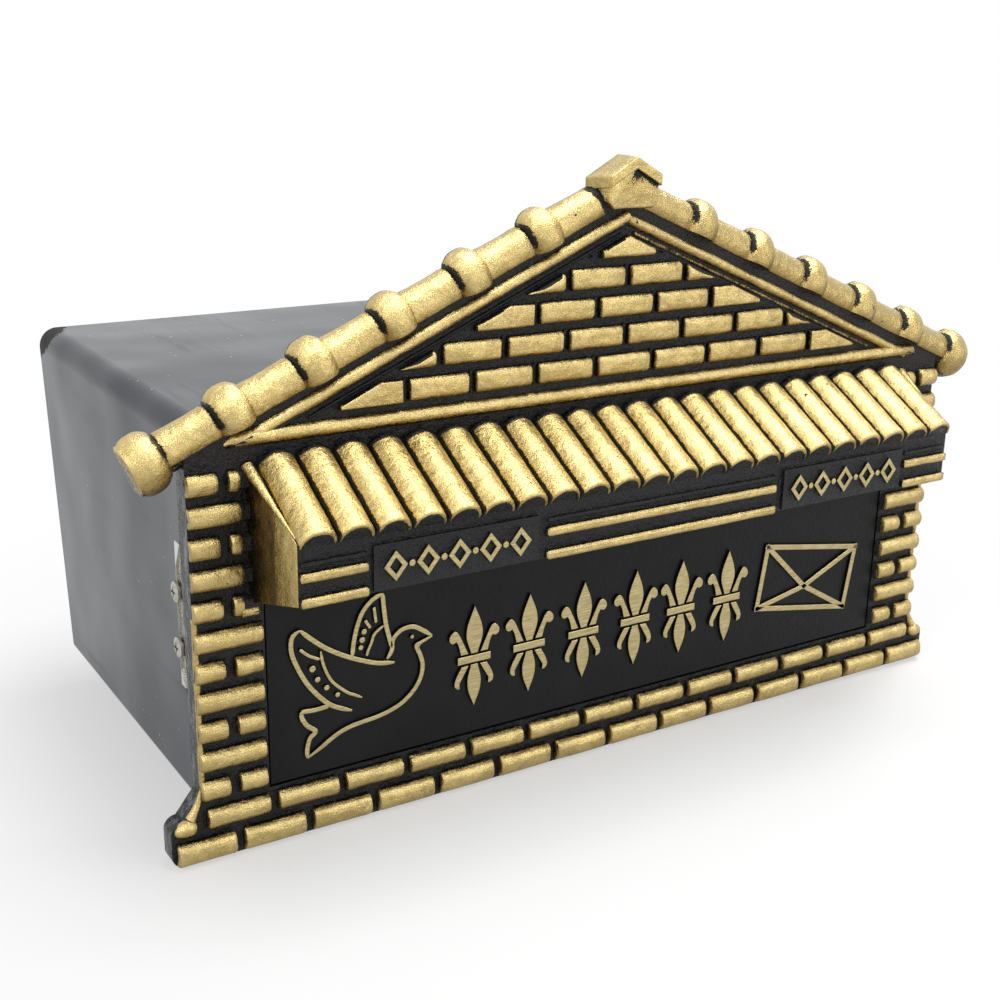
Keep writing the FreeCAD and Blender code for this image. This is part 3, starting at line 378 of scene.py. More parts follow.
class Mixer:
    """A material's node tree, with short ways to add and link its nodes."""

    def __init__(self, name):
        self.material = bpy.data.materials.new(name)
        self.material.use_nodes = True
        self.tree = self.material.node_tree
        self.shader = self.tree.nodes["Principled BSDF"]
        place = self.tree.nodes.new("ShaderNodeTexCoord")
        self.place = place.outputs["Object"]

    def link(self, source, socket):
        self.tree.links.new(source, socket)

    def noise(self, scale, detail=3.0, roughness=0.55, stretch=None, distortion=0.0):
        node = self.tree.nodes.new("ShaderNodeTexNoise")
        node.inputs["Scale"].default_value = scale
        node.inputs["Detail"].default_value = detail
        node.inputs["Roughness"].default_value = roughness
        node.inputs["Distortion"].default_value = distortion
        source = self.place
        if stretch:
            mapping = self.tree.nodes.new("ShaderNodeMapping")
            mapping.inputs["Scale"].default_value = stretch
            self.link(source, mapping.inputs["Vector"])
            source = mapping.outputs["Vector"]
        self.link(source, node.inputs["Vector"])
        return node.outputs["Fac"]

    def math(self, kind, a, b=None, clamp=False):
        node = self.tree.nodes.new("ShaderNodeMath")
        node.operation = kind
        node.use_clamp = clamp
        for socket, value in zip(node.inputs, (a, b)):
            if value is None:
                continue
            if isinstance(value, (int, float)):
                socket.default_value = value
            else:
                self.link(value, socket)
        return node.outputs[0]

    def times(self, first, *others):
        """The product of values."""
        for other in others:
            first = self.math("MULTIPLY", first, other)
        return first

    def above(self, value, level):
        return self.math("GREATER_THAN", value, level)

    def below(self, value, level):
        return self.math("LESS_THAN", value, level)

    def distance(self, point, stretch=(1, 1, 1)):
        """How far each place lies from a point, in a space stretched by three factors."""
        stretched, apart = (self.tree.nodes.new("ShaderNodeVectorMath") for _ in range(2))
        stretched.operation, apart.operation = "MULTIPLY", "DISTANCE"
        self.link(self.place, stretched.inputs[0])
        stretched.inputs[1].default_value = stretch
        self.link(stretched.outputs["Vector"], apart.inputs[0])
        apart.inputs[1].default_value = point
        return apart.outputs["Value"]

    def spread(self, value, low, high, start=0.0, end=1.0, smooth=True):
        node = self.tree.nodes.new("ShaderNodeMapRange")
        node.interpolation_type = "SMOOTHSTEP" if smooth else "LINEAR"
        for name, number in (("From Min", low), ("From Max", high), ("To Min", start), ("To Max", end)):
            node.inputs[name].default_value = number
        self.link(value, node.inputs["Value"])
        return node.outputs["Result"]

    def blend(self, factor, first, second):
        node = self.tree.nodes.new("ShaderNodeMix")
        node.data_type = "RGBA"
        self.link(factor, node.inputs["Factor"])
        for socket, colour in ((node.inputs[6], first), (node.inputs[7], second)):
            if isinstance(colour, bpy.types.NodeSocket):
                self.link(colour, socket)
            else:
                socket.default_value = (*colour, 1)
        return node.outputs[2]

    def attribute(self, name):
        node = self.tree.nodes.new("ShaderNodeAttribute")
        node.attribute_name = name
        return node.outputs["Fac"]

    def part_of(self, axis):
        node = self.tree.nodes.new("ShaderNodeSeparateXYZ")
        self.link(self.place, node.inputs[0])
        return node.outputs[axis]

    def bump(self, *layers):
        """Bumps on bumps: pairs of a height and its depth in metres."""
        normal = None
        for height, depth in layers:
            node = self.tree.nodes.new("ShaderNodeBump")
            node.inputs["Distance"].default_value = depth
            self.link(height, node.inputs["Height"])
            if normal:
                self.link(normal, node.inputs["Normal"])
            normal = node.outputs["Normal"]
        self.link(normal, self.shader.inputs["Normal"])

    def set(self, **values):
        for name, value in values.items():
            socket = self.shader.inputs[name.replace("_", " ")]
            if isinstance(value, bpy.types.NodeSocket):
                self.link(value, socket)
            elif isinstance(value, tuple):
                socket.default_value = (*value, 1)
            else:
                socket.default_value = value
        return self.material


def rubbed_gold(paints, name="Rubbed gold", stained=False, streaks=(1, 1, 1)):
    """Gold paint rubbed over black: full on the crests, broken at its edges and gone in the recesses, with
    painted light that makes it paler on what looks up and darker on what looks down.
    """
    mix = Mixer(name)
    fine, coarse = mix.noise(1500, 2, stretch=streaks), mix.noise(320, 3)
    edge = mix.math("ADD", mix.times(fine, 0.55), mix.times(coarse, 0.45))
    wavering = mix.math("ADD", mix.attribute("rub"), mix.math("SUBTRACT", edge, 0.5))
    pits = mix.spread(mix.noise(260, 2, 0.6), 0.235, 0.255)
    gold_here = mix.times(mix.spread(wavering, 0.45, 0.55), pits)
    grain = mix.noise(2300, 2, 0.65)
    patches = mix.spread(mix.noise(130, 4, 0.65, distortion=0.6), 0.38, 0.64)
    cover = mix.spread(mix.attribute("rub"), 0.5, 1.0, smooth=False)
    thick = mix.times(cover, mix.math("ADD", mix.times(patches, 0.55), 0.45))
    # Painted light: skin that looks up gets paler gold and skin that looks down gets darker gold, as if lit
    # from above.
    painted_light_from_above = mix.spread(mix.attribute("lift"), -0.75, 0.6, smooth=False)
    flakes = mix.spread(grain, 0.5, 0.7)
    tone_and_painted_light = mix.math("ADD", mix.times(thick, 0.34), mix.times(painted_light_from_above, 0.55))
    tone_and_painted_light = mix.math("ADD", tone_and_painted_light, mix.times(flakes, 0.22), clamp=True)
    gold = mix.blend(tone_and_painted_light, tuple(paints.gold), tuple(paints.pale))
    if stained:
        rear = mix.above(mix.part_of("Y"), -26.0 * MM)
        clouds = mix.spread(mix.noise(90, 3, 0.6), 0.4, 0.65)
        brown = mix.blend(clouds, (0.035, 0.02, 0.007), (0.1, 0.05, 0.014))
        gold = mix.blend(mix.times(rear, 0.9), gold, brown)
    colour = mix.blend(gold_here, tuple(paints.black), gold)
    roughness = mix.spread(grain, 0.3, 0.7, 0.2, 0.36)
    mix.bump((mix.noise(240, 3), 0.0008), (grain, 0.00022), (gold_here, 0.00016))
    return mix.set(Base_Color=colour, Metallic=gold_here, Roughness=roughness, IOR=1.3)


def cast_black(paints):
    """Black paint over sand cast metal, worn grey on the outer edges, bare on the lugs inside the box."""
    mix = Mixer("Cast black")
    y, z = mix.part_of("Y"), mix.part_of("Z")
    side = mix.math("ABSOLUTE", mix.part_of("X"))
    lug = mix.times(mix.above(side, 165.8 * MM), mix.below(side, 170.9 * MM), mix.above(y, -3.9 * MM))
    ragged = mix.math("ADD", side, mix.times(mix.noise(400), 0.6 * MM))
    flank = mix.times(mix.above(ragged, 175.7 * MM), mix.above(y, -7.7 * MM), mix.below(z, 152 * MM))
    grazes = mix.spread(mix.noise(330, 4, 0.7, stretch=(1, 1, 0.22)), 0.5, 0.6)
    paint = mix.blend(mix.times(grazes, flank, 0.9), tuple(paints.black), (0.19, 0.205, 0.235))
    colour = mix.blend(lug, paint, (0.62, 0.60, 0.55))
    sand, grit = mix.noise(420, 4, 0.6), mix.noise(1700, 2, 0.7)
    roughness = mix.spread(grit, 0.35, 0.75, 0.14, 0.42)
    mix.bump((sand, 0.001), (grit, 0.0004))
    return mix.set(Base_Color=colour, Metallic=lug, Roughness=roughness, IOR=1.36)


def box_enamel(paints):
    """Glossy black enamel on thin sheet, chipped at the far top corner, bare on the edge beside the lugs."""
    mix = Mixer("Box enamel")
    sheet, dust = mix.noise(9, 2, 0.5), mix.noise(900, 2, 0.5)
    scuffs = mix.noise(60, 5, 0.7, stretch=(1, 0.12, 1))
    dull = mix.spread(scuffs, 0.52, 0.75, 0.13, 0.3)
    haze = mix.spread(mix.noise(30, 4, 0.6), 0.35, 0.7)
    colour = mix.blend(haze, tuple(paints.enamel), (0.014, 0.0195, 0.03))
    specks = mix.spread(mix.noise(560, 1, 0.4), 0.785, 0.8)
    colour = mix.blend(specks, colour, (0.5, 0.5, 0.5))
    corner = mix.distance((-168.0 * MM, 110.2 * MM, 154.9 * MM), (1, 0.6, 1))
    reach = mix.math("ADD", corner, mix.times(mix.noise(190, 4, 0.7), 9 * MM))
    chip = mix.spread(reach, 13 * MM, 13.6 * MM, 1.0, 0.0)
    rust = mix.spread(mix.noise(300, 3, 0.6), 0.45, 0.6)
    bare = mix.blend(rust, (0.003, 0.003, 0.003), (0.02, 0.01, 0.005))
    colour = mix.blend(chip, colour, bare)
    side, z = mix.math("ABSOLUTE", mix.part_of("X")), mix.part_of("Z")
    edge = mix.times(mix.above(side, 170.2 * MM), mix.below(mix.part_of("Y"), 17.5 * MM))
    edge = mix.times(edge, mix.above(z, 58 * MM), mix.below(z, 113 * MM))
    colour = mix.blend(edge, colour, (0.62, 0.60, 0.52))
    rough = mix.math("ADD", dull, mix.times(chip, 0.5), clamp=True)
    mix.bump((sheet, 0.004), (dust, 0.00002), (chip, 0.0002))
    # Painted reflection: the bluish specular tint gives the enamel's reflections a cool cast.
    return mix.set(Base_Color=colour, Metallic=edge, Roughness=rough, IOR=1.36, Specular_Tint=(0.8, 0.9, 1.0))


def satin_black():
    """Smooth black paint of the letter flap, a little cloudy."""
    mix = Mixer("Satin black")
    skin, grit = mix.noise(500, 3), mix.noise(2400, 2)
    mix.bump((skin, 0.00025), (grit, 0.00006))
    clouds = mix.spread(mix.noise(45, 4, 0.6), 0.35, 0.7)
    colour = mix.blend(clouds, (0.0055, 0.0055, 0.006), (0.0085, 0.0085, 0.0095))
    return mix.set(Base_Color=colour, Roughness=mix.spread(grit, 0.3, 0.7, 0.3, 0.42), IOR=1.26)


def brushed_gold(paints):
    """Flat tops of the signs, brushed in one direction, with black left on their flanks."""
    mix = Mixer("Brushed gold")
    hair = mix.noise(900, 3, 0.6, stretch=(0.15, 1, 2.5))
    spots = mix.noise(500, 2)
    rubbed = mix.math("ADD", mix.attribute("rub"), mix.times(mix.math("SUBTRACT", spots, 0.5), 0.5))
    here = mix.spread(rubbed, 0.4, 0.55)
    gold = mix.blend(mix.spread(hair, 0.3, 0.7), (0.33, 0.265, 0.12), (0.56, 0.47, 0.25))
    colour = mix.blend(here, tuple(paints.black), gold)
    roughness = mix.spread(hair, 0.3, 0.7, 0.32, 0.48)
    mix.bump((hair, 0.00014))
    return mix.set(Base_Color=colour, Metallic=here, Roughness=roughness, IOR=1.3)


def zinc_plate():
    """Dull zinc with its spangle, for screws, nuts, hinges, rod and rivets."""
    mix = Mixer("Zinc plate")
    bloom = mix.noise(700, 4, 0.6)
    colour = mix.blend(mix.spread(bloom, 0.3, 0.7), (0.34, 0.335, 0.29), (0.54, 0.53, 0.47))
    mix.bump((mix.noise(1800, 2), 0.00005))
    return mix.set(Base_Color=colour, Metallic=1.0, Roughness=mix.spread(bloom, 0.3, 0.7, 0.28, 0.45))


def lock_chrome():
    """Bright plating of the lock, smeared by fingers."""
    mix = Mixer("Lock chrome")
    smear = mix.noise(150, 4, 0.6)
    colour = mix.blend(mix.spread(smear, 0.3, 0.7), (0.6, 0.6, 0.61), (0.72, 0.72, 0.72))
    mix.bump((mix.noise(900, 2), 0.00002))
    return mix.set(Base_Color=colour, Metallic=1.0, Roughness=mix.spread(smear, 0.3, 0.7, 0.08, 0.2))


# PaintFrame fills this with the coats by name

COATS = {}


# The pieces, each by its own operator


class PaintFrame(bpy.types.Operator):
    """Gives the frame's own parts their paint and plating"""
    bl_idname = "post_box.paint_frame"
    bl_label = "Paint the frame"

    def execute(self, context):
        paints = context.scene.post_box_paints
        COATS["gold"] = rubbed_gold(paints)
        COATS["roll"] = rubbed_gold(paints, "Rubbed gold of the rolls", streaks=(0.5, 1, 1.3))
        COATS["cheek"] = rubbed_gold(paints, "Stained gold", stained=True)
        COATS["cast"] = cast_black(paints)
        COATS["enamel"] = box_enamel(paints)
        COATS["satin"] = satin_black()
        COATS["sign"] = brushed_gold(paints)
        COATS["zinc"] = zinc_plate()
        COATS["chrome"] = lock_chrome()
        picks = {
            "front_casting": "cast", "letter_flap": "satin", "body_shell": "enamel", "rear_door": "enamel",
            "lock_barrel": "chrome", "lock_plug": "chrome",
        }
        for node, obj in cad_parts.items():
            obj.data.materials.clear()
            obj.data.materials.append(COATS[picks.get(node, "zinc")])
        return {"FINISHED"}


def loaves(name, boxes, crown, ends, cuts=2, trims=None):
    """Bricks rounded over along their long front edges and a little at their ends.

    Each box is its two corners in millimetres. Crown and ends are the widths of the two roundings, and
    trims holds the planes that cut a brick off, by its number.
    """
    made = []
    for number, (low, high) in enumerate(boxes):
        brick = block(name, low, high)
        for point, normal in (trims or {}).get(number, ()):
            shave(brick, point, normal)
        front = min(low[1], high[1])
        pick_edges(brick, lambda a, b: abs(a.y - front) < 0.01 and abs(b.y - front) < 0.01
                   and abs(a.z - b.z) < 0.9 * abs(a.x - b.x))
        bpy.ops.mesh.bevel(offset=crown * MM, segments=4, affect="EDGES", clamp_overlap=True)
        leave_edit()
        soften(brick, ends, 2, 40)
        made.append(brick)
    return tidy_normals(divide(weld(name, made), cuts))


class WallBricks(bpy.types.Operator):
    """Bricks of the base and of both columns"""
    bl_idname = "post_box.wall_bricks"
    bl_label = "Wall bricks"

    def execute(self, context):
        sizes = context.scene.post_box_bricks
        pitch, rise, gap = sizes.pitch / MM, sizes.rise / MM, sizes.joint / MM / 2
        ground = GROUND
        front, back = ground - sizes.crown / MM, ground + BEDDING
        spans = []
        for i in range(14):
            x0, x1 = (i - 7) * pitch, (i - 6) * pitch
            spans.append((max(x0, -BASE_HALF) + gap, min(x1, BASE_HALF) - gap, 0.45, rise - gap))
        for i in range(13):
            spans.append(((i - 6.5) * pitch + gap, (i - 5.5) * pitch - gap, rise + gap, 2 * rise - gap))
        for course in range(COLUMN_COURSES):
            z0 = (2 + course) * rise
            low, high = z0 + gap - 0.1, z0 + rise - gap
            inner = 157.0 if z0 > 88 else 150.9
            if course % 2:
                row = [(inner, COLUMN_SIDE)]
            else:
                row = [(inner, 161.3), (164.9, COLUMN_SIDE)]
            for a, b in row:
                spans += [(a, b, low, high), (-b, -a, low, high)]
        for side in (-1, 1):
            spans.append((*sorted((side * 152.2, side * 158.6)), 90.9, 94.8))
        boxes = [((a, front, c), (b, back, d)) for a, b, c, d in spans]
        bricks = loaves("wall_bricks", boxes, 3.5, 1.2)
        lumps(bricks, 9, 0.55, 0.5)
        lumps(bricks, 3, 0.22, 0.5)

        def crest(co, normal):
            return slanting_rub(normal, 0.25 + ramp(ground - co.y, -0.3, 0.5) * 0.75)

        rub(bricks, crest)
        dress(bricks, HOUSE, COATS["gold"])

        bulbs = []
        swell = [(0, 0.5), (0.6, 1.5), (1.9, 2.4), (4, 3.0), (6, 3.3), (7.6, 2.7), (8.6, 1.3), (8.9, 0.4)]
        thorn = [(179.6, 18.0), (178.0, 20.8), (176.4, 24.6), (175.4, 28.6)]
        for side in (-1, 1):
            bulb = turned_rod("Bulb", swell, 20)
            lay_along(bulb, (side * 185.9, ground, 13.8), (side * -1, 0, 0.24))
            spike = wire("Spike", [(side * x, ground, z) for x, z in thorn], [1.9, 1.5, 1.0, 0.5])
            bulbs += [bulb, spike]
        steps = weld("step_bulbs", bulbs)
        lumps(steps, 5, 0.4, 0.5)
        rub(steps, lambda co, normal: slanting_rub(normal, 1.0, 0.1, 0.3))
        dress(steps, HOUSE, COATS["gold"])
        return {"FINISHED"}


class GableBricks(bpy.types.Operator):
    """Courses of bricks in the gable, trimmed along the slopes, with a black ridge in each upright joint"""
    bl_idname = "post_box.gable_bricks"
    bl_label = "Gable bricks"

    def execute(self, context):
        sizes, roof = context.scene.post_box_bricks, context.scene.post_box_roof
        pitch, rise, gap = sizes.pitch / MM, sizes.rise / MM, sizes.joint / MM / 2
        ground = GROUND
        back, front = ground + BEDDING, ground - sizes.flat / MM
        slope = math.tan(roof.angle)
        level = GABLE_LEVEL
        boxes, trims, joints = [], {}, []
        for course in range(GABLE_COURSES):
            z0 = GABLE_FOOT + course * rise
            shift = 0 if course % 2 else pitch / 2
            reach = (level - z0 - gap) / slope
            first = -math.ceil((reach + shift) / pitch) * pitch + shift
            while first < reach:
                a, b, c, d = first + gap, first + pitch - gap, z0 + gap - 0.1, z0 + rise - gap
                first += pitch
                if abs(first) < (level - d) / slope - 1:
                    joints.append((first, c, d))
                inner = 0 if a < 0 < b else min(abs(a), abs(b))
                if (level - c) / slope - inner < 5:
                    continue
                for side in (-1, 1):
                    if max(a * side, b * side) > (level - d) / slope:
                        plane = ((0, 0, level), (side * math.sin(roof.angle), 0, math.cos(roof.angle)))
                        trims.setdefault(len(boxes), []).append(plane)
                boxes.append(((a, front, c), (b, back, d)))
        bricks = loaves("gable_bricks", boxes, 2.2, 0.8, trims=trims)
        lumps(bricks, 8, 0.4, 0.5)
        lumps(bricks, 3, 0.18, 0.5)

        def crest(co, normal):
            return slanting_rub(normal, 0.2 + ramp(ground - co.y, 0.4, 1.3) * 0.8, 0.4, 0.5)

        rub(bricks, crest)
        dress(bricks, HOUSE, COATS["gold"])

        ridge = block("Ridge", (-0.6, ground - 1.0, 0), (0.6, ground + 0.6, rise - 2 * gap + 0.4))
        soften(ridge, 0.55, 3)
        ridges = weld("gable_joints", copies(ridge, [(x, 0, c) for x, c, _ in joints]))
        lumps(ridges, 3, 0.35, 0.4)
        dress(ridges, HOUSE, COATS["cast"])
        return {"FINISHED"}


class GableBeads(bpy.types.Operator):
    """Half round beads along the slopes and the foot of the gable, and the worn edges beside them"""
    bl_idname = "post_box.gable_beads"
    bl_label = "Gable beads"

    def execute(self, context):
        roof = context.scene.post_box_roof
        slope = math.tan(roof.angle)
        y = GROUND
        foot, corner = 153.9, 150.0
        parts = []
        for side, level, radius in ((-1, 219.4, 2.25), (1, 218.35, 2.1)):
            points, radii = [], []
            for i in range(42):
                x = corner * i / 40
                points.append((side * x, y, level - x * slope))
                radii.append(radius)
            points.append((side * 155.6, y, 152.9))
            points.append((side * 158.6, y, 152.0))
            radii += [1.5, 0.5]
            parts.append(wire("Slope bead", points, radii))
        points = [(corner * (2 * i / 80 - 1), y, foot) for i in range(81)]
        points = [(-161.5, y, 152.2), (-158.2, y, 153.6)] + points + [(158.2, y, 153.6), (161.5, y, 152.2)]
        parts.append(wire("Foot bead", points, [0.5, 2.5] + [2.8] * 81 + [2.5, 0.5]))
        beads = weld("gable_beads", parts)
        lumps(beads, 7, 0.35, 0.4)
        lumps(beads, 2.5, 0.12, 0.4)

        def crest(co, normal):
            return 0.4 + ramp(-normal.y, 0.0, 0.5) * 0.6 - 0.25 * max(normal.z - 0.75, 0) / 0.25

        rub(beads, crest)
        dress(beads, HOUSE, COATS["gold"], 60)
        edges = []
        places = [3 + 128 * i / 30 for i in range(31)]
        for side in (-1, 1):
            points = [(side * x, y - 0.1, 214.1 - x * slope) for x in places]
            edges.append(wire("Inner edge", points, [0.6] * 31))
        thin = weld("gable_edges", edges)
        lumps(thin, 5, 0.4)
        rub(thin, lambda co, normal: 0.2 if co.x < 0 else 0.5)
        dress(thin, HOUSE, COATS["gold"], 60)
        return {"FINISHED"}


class RoofRolls(bpy.types.Operator):
    """The two rolls along the roof with their collar caps"""
    bl_idname = "post_box.roof_rolls"
    bl_label = "Roof rolls"

    def execute(self, context):
        roof = context.scene.post_box_roof
        radius, cap = roof.roll / MM, roof.cap / MM
        length, pitch, start = roof.cap_length / MM, roof.cap_pitch / MM, roof.cap_start / MM
        stations = [(0.0, radius)]
        caps = []
        swell = (0.3, 0.58, 0.81, 0.94, 0.99, 1.0, 0.99, 0.94, 0.81, 0.58, 0.3)
        for i in range(roof.caps):
            s0 = start + i * pitch - length / 2
            previous = stations[-1][0]
            span = s0 - previous
            count = max(3, int(span / 1.8))
            for k in range(1, count):
                t = k / count
                stations.append((previous + span * t, radius + 0.5 * abs(2 * t - 1) ** 3))
            stations.append((s0 - 0.4, radius + 0.1))
            for k, rise in enumerate(swell):
                stations.append((s0 + length * k / 10, radius + (cap - radius) * rise))
            caps.append((s0, s0 + length))
            if i < roof.caps - 1:
                stations.append((s0 + length + 0.4, radius + 0.1))
        last = stations[-1][0]
        stations[-1] = (last - 0.6, cap - 1.6)
        stations += [(last - 0.1, cap - 3.2), (last + 0.15, cap - 5.2)]
        rod = turned_rod("Roll", stations, 40)
        left, right = copies(rod, [(0, 0, 0), (0, 0, 0)])
        for obj, side, name in ((left, -1, "roof_roll_left"), (right, 1, "roof_roll_right")):
            obj.name = name
            way = Vector((side * math.cos(roof.angle), 0, -math.sin(roof.angle)))
            lay_along(obj, (0, -roof.setback / MM, roof.axis / MM), way)
            shave(obj, (0, -0.15, 0), (0, 1, 0))
            reach = sorted((side * (caps[-1][0] - 0.3), -side * 30))
            under = block("Under", (reach[0], -30, -40), (reach[1], GROUND + 0.9, -3.08))
            under.rotation_euler = (0, side * roof.angle, 0)
            under.location = (0, 0, roof.axis)
            settle(under)
            finish_with(obj, "BOOLEAN", operation="DIFFERENCE", object=under, solver="EXACT")
            choose(under)
            bpy.ops.object.delete()
            tidy_normals(obj)
            lumps(obj, 10, 0.4, 0.45)
            lumps(obj, 3, 0.16, 0.45)

            over = Vector((-way.z * side, 0, way.x * side))

            def crest(co, normal, side=side, way=way, over=over):
                along = (Vector((co.x, 0, co.z - roof.axis / MM))).dot(way)
                high = (co - Vector((0, 0, roof.axis / MM)) - way * along).dot(over)
                back = 0.2 + 0.8 * ramp(-co.y, 0.1, 1.6)
                shadow = 0.0
                for s0, s1 in caps:
                    foot = s1 if side < 0 and s1 < caps[-1][1] else s0
                    shadow = max(shadow, 1 - ramp(abs(along - foot), -0.4, 2.8))
                shadow *= ramp(high, -5.5, 1.5) * (1 - ramp(high, 7.6, 10))
                if side > 0:
                    shadow *= 0.9
                if side < 0 and high > -3.5:
                    shadow = max(shadow, ramp(14.2 + 0.2 * high - along, 0.0, 1.4))
                # Painted shade: the right roll's gold is capped lower so that it renders darker than the left
                # roll's.
                tone_and_painted_light = 1.0 if side < 0 else 0.72
                if along > last - 0.4 and normal.dot(way) > 0.7:
                    tone_and_painted_light = 0.56
                elif high < -3.2 and co.y > -7.5:
                    tone_and_painted_light = 0.42
                return min(back, tone_and_painted_light, 1.05 - 0.95 * shadow)

            rub(obj, crest)
            dress(obj, HOUSE, COATS["roll"], 50)
        return {"FINISHED"}


class RidgeCap(bpy.types.Operator):
    """The block at the ridge and the lip over it, both narrower at the front"""
    bl_idname = "post_box.ridge_cap"
    bl_label = "Ridge cap"

    def execute(self, context):
        foot, top, back = 222.3, 241.15, -0.15
        taper = (13, -2.75)
        body = block("Block", (-14.2, -12.05, foot), (14.2, back, 237))
        pitch = (241 - 233.2) / 14
        lips = []
        for side in (-1, 1):
            shave(body, (0, 0, 237.5), (side * pitch, 0, 1))
            flank = (side * taper[0], taper[1], 0)
            shave(body, (side * 13.6, 0, foot), flank)
            shave(body, (side * 8.9, 0, foot), (side, 0, -1))
            ends = sorted((0, side * 18))
            lip = block("Lip", (ends[0] - 2, -13.25, -3.8), (ends[1] + 2, back, 0))
            lip.rotation_euler = (0, side * math.atan(pitch), 0)
            lip.location = (0, 0, top * MM)
            settle(lip)
            shave(lip, (0, 0, 0), (-side, 0, 0))
            lips.append(shave(lip, (side * 14.35, 0, foot), flank))
        lip = tidy_normals(weld("Lip", lips))
        parts = [soften(tidy_normals(piece), width, 3, 25) for piece, width in ((lip, 0.45), (body, 0.9))]
        cap = tidy_normals(divide(weld("ridge_cap", parts), 3))
        lumps(cap, 9, 0.35, 0.5)
        lumps(cap, 3, 0.16, 0.5)

        def crest(co, normal):
            under_lip = 1.0
            if co.x > -2 and co.y < -11.4:
                under_lip = ramp(abs(co.z - (236.5 - abs(co.x) * pitch)), 0.1, 0.9)
            return min(0.3 + ramp(-co.y, 0.1, 1.4), 0.25 + 0.75 * under_lip)

        rub(cap, crest)
        dress(cap, HOUSE, COATS["gold"])
        return {"FINISHED"}


class HoodTiles(bpy.types.Operator):
    """Half round tiles side by side on the slope of the hood"""
    bl_idname = "post_box.hood_tiles"
    bl_label = "Hood tiles"

    def execute(self, context):
        roof = context.scene.post_box_roof
        angle = math.atan2(HOOD_DROP, HOOD_RUN)
        pitch = 2 * HOOD_HALF / roof.tiles
        radius = pitch / 2 + 0.12
        length = math.hypot(HOOD_RUN, HOOD_DROP) + 1.62
        stations = [(0.0, radius * 0.8), (0.5, radius * 0.93), (1.4, radius)]
        stations += [(2 + (length - 4) * k / 12, radius) for k in range(13)]
        stations += [(length - 0.9, radius), (length - 0.3, radius - 0.15), (length, radius - 0.5)]
        stations += [(length, radius - 1.2), (length - 1.0, radius - 1.6)]
        tile = turned_rod("Tile", stations, 36)
        down = Vector((0, -math.cos(angle), -math.sin(angle)))
        up = Vector((0, -math.sin(angle), math.cos(angle)))
        head = Vector((0, GROUND, HOOD_TOP)) - up * 1.1
        lay_along(tile, head, down)
        shave(tile, head + up * 0.3, -up)
        moves = [((i + 0.5) * pitch - HOOD_HALF, 0, 0) for i in range(roof.tiles)]
        tiles = weld("hood_tiles", copies(tile, moves))
        lumps(tiles, 8, 0.3, 0.15)
        lumps(tiles, 2.2, 0.12, 0.15)

        def crest(co, normal):
            nearest = math.floor((co.x + HOOD_HALF) / pitch)
            across = (co.x + HOOD_HALF - (nearest + 0.5) * pitch) / (pitch / 2)
            down_the_slope = (co - head).dot(down)
            left = 1.0 if nearest < 1 else ramp(across, -0.96, -0.74)
            right = ramp(-across, -1.02, -0.9)
            top = ramp(down_the_slope, 0.2, 1.6)
            hollow = ramp(length - 0.5 - down_the_slope, -0.9, -0.4) if -normal.dot(down) > 0.3 else 1.0
            at_the_end = down_the_slope > length - 1.2 and normal.dot(down) > 0.5
            within = (co - head).dot(up) ** 2 + (across * pitch / 2) ** 2 < (radius - 1.3) ** 2
            inside = 0.0 if at_the_end and within else 1.0
            return min(left, right, top, hollow, inside)

        rub(tiles, crest)
        dress(tiles, HOUSE, COATS["gold"], 50)
        return {"FINISHED"}


class HoodCheeks(bpy.types.Operator):
    """Side cheeks of the hood with a seam across them, and the tapered rod along their upper edge"""
    bl_idname = "post_box.hood_cheeks"
    bl_label = "Hood cheeks"

    def execute(self, context):
        made, bars = [], []
        lean = math.hypot(HOOD_RUN, HOOD_TAPER)
        for side in (-1, 1):
            for name, y0, y1, proud in (("Rear", -25.9, -8.1, 0.2), ("Front", -40.27, -26.05, 0.35)):
                xs = sorted((side * 146, side * 157))
                cheek = block(name, (xs[0], y0, 94), (xs[1], y1, 146))
                out = Vector((side * HOOD_RUN / lean, -HOOD_TAPER / lean, 0))
                shave(cheek, Vector((side * HOOD_WALL_HALF, GROUND, 0)) + out * proud, out)
                shave(cheek, (0, GROUND, HOOD_TOP), (0, -HOOD_DROP, HOOD_RUN))
                shave(cheek, (0, GROUND, 95.3), (0, -8.6, -HOOD_RUN))
                made.append(soften(cheek, 0.3, 2))
            steps = 12
            points = [(side * (153.8 - 3.6 * t / steps), -8.4 - 30.4 * t / steps, 143.9 - 16.8 * t / steps)
                      for t in range(steps + 1)]
            bars.append(wire("Cheek rod", points, [2.3 - 2.0 * (t / steps) ** 0.8 for t in range(steps + 1)]))
        cheeks = weld("hood_cheeks", made)
        rub(cheeks, lambda co, normal: 1.0 if abs(normal.x) > 0.5 else 0.3 - 0.2 * normal.z)
        dress(cheeks, HOUSE, COATS["cheek"])
        bar = weld("cheek_rods", bars)
        lumps(bar, 6, 0.3, 0.4)
        rub(bar, lambda co, normal: 0.9)
        dress(bar, HOUSE, COATS["gold"], 60)
        return {"FINISHED"}


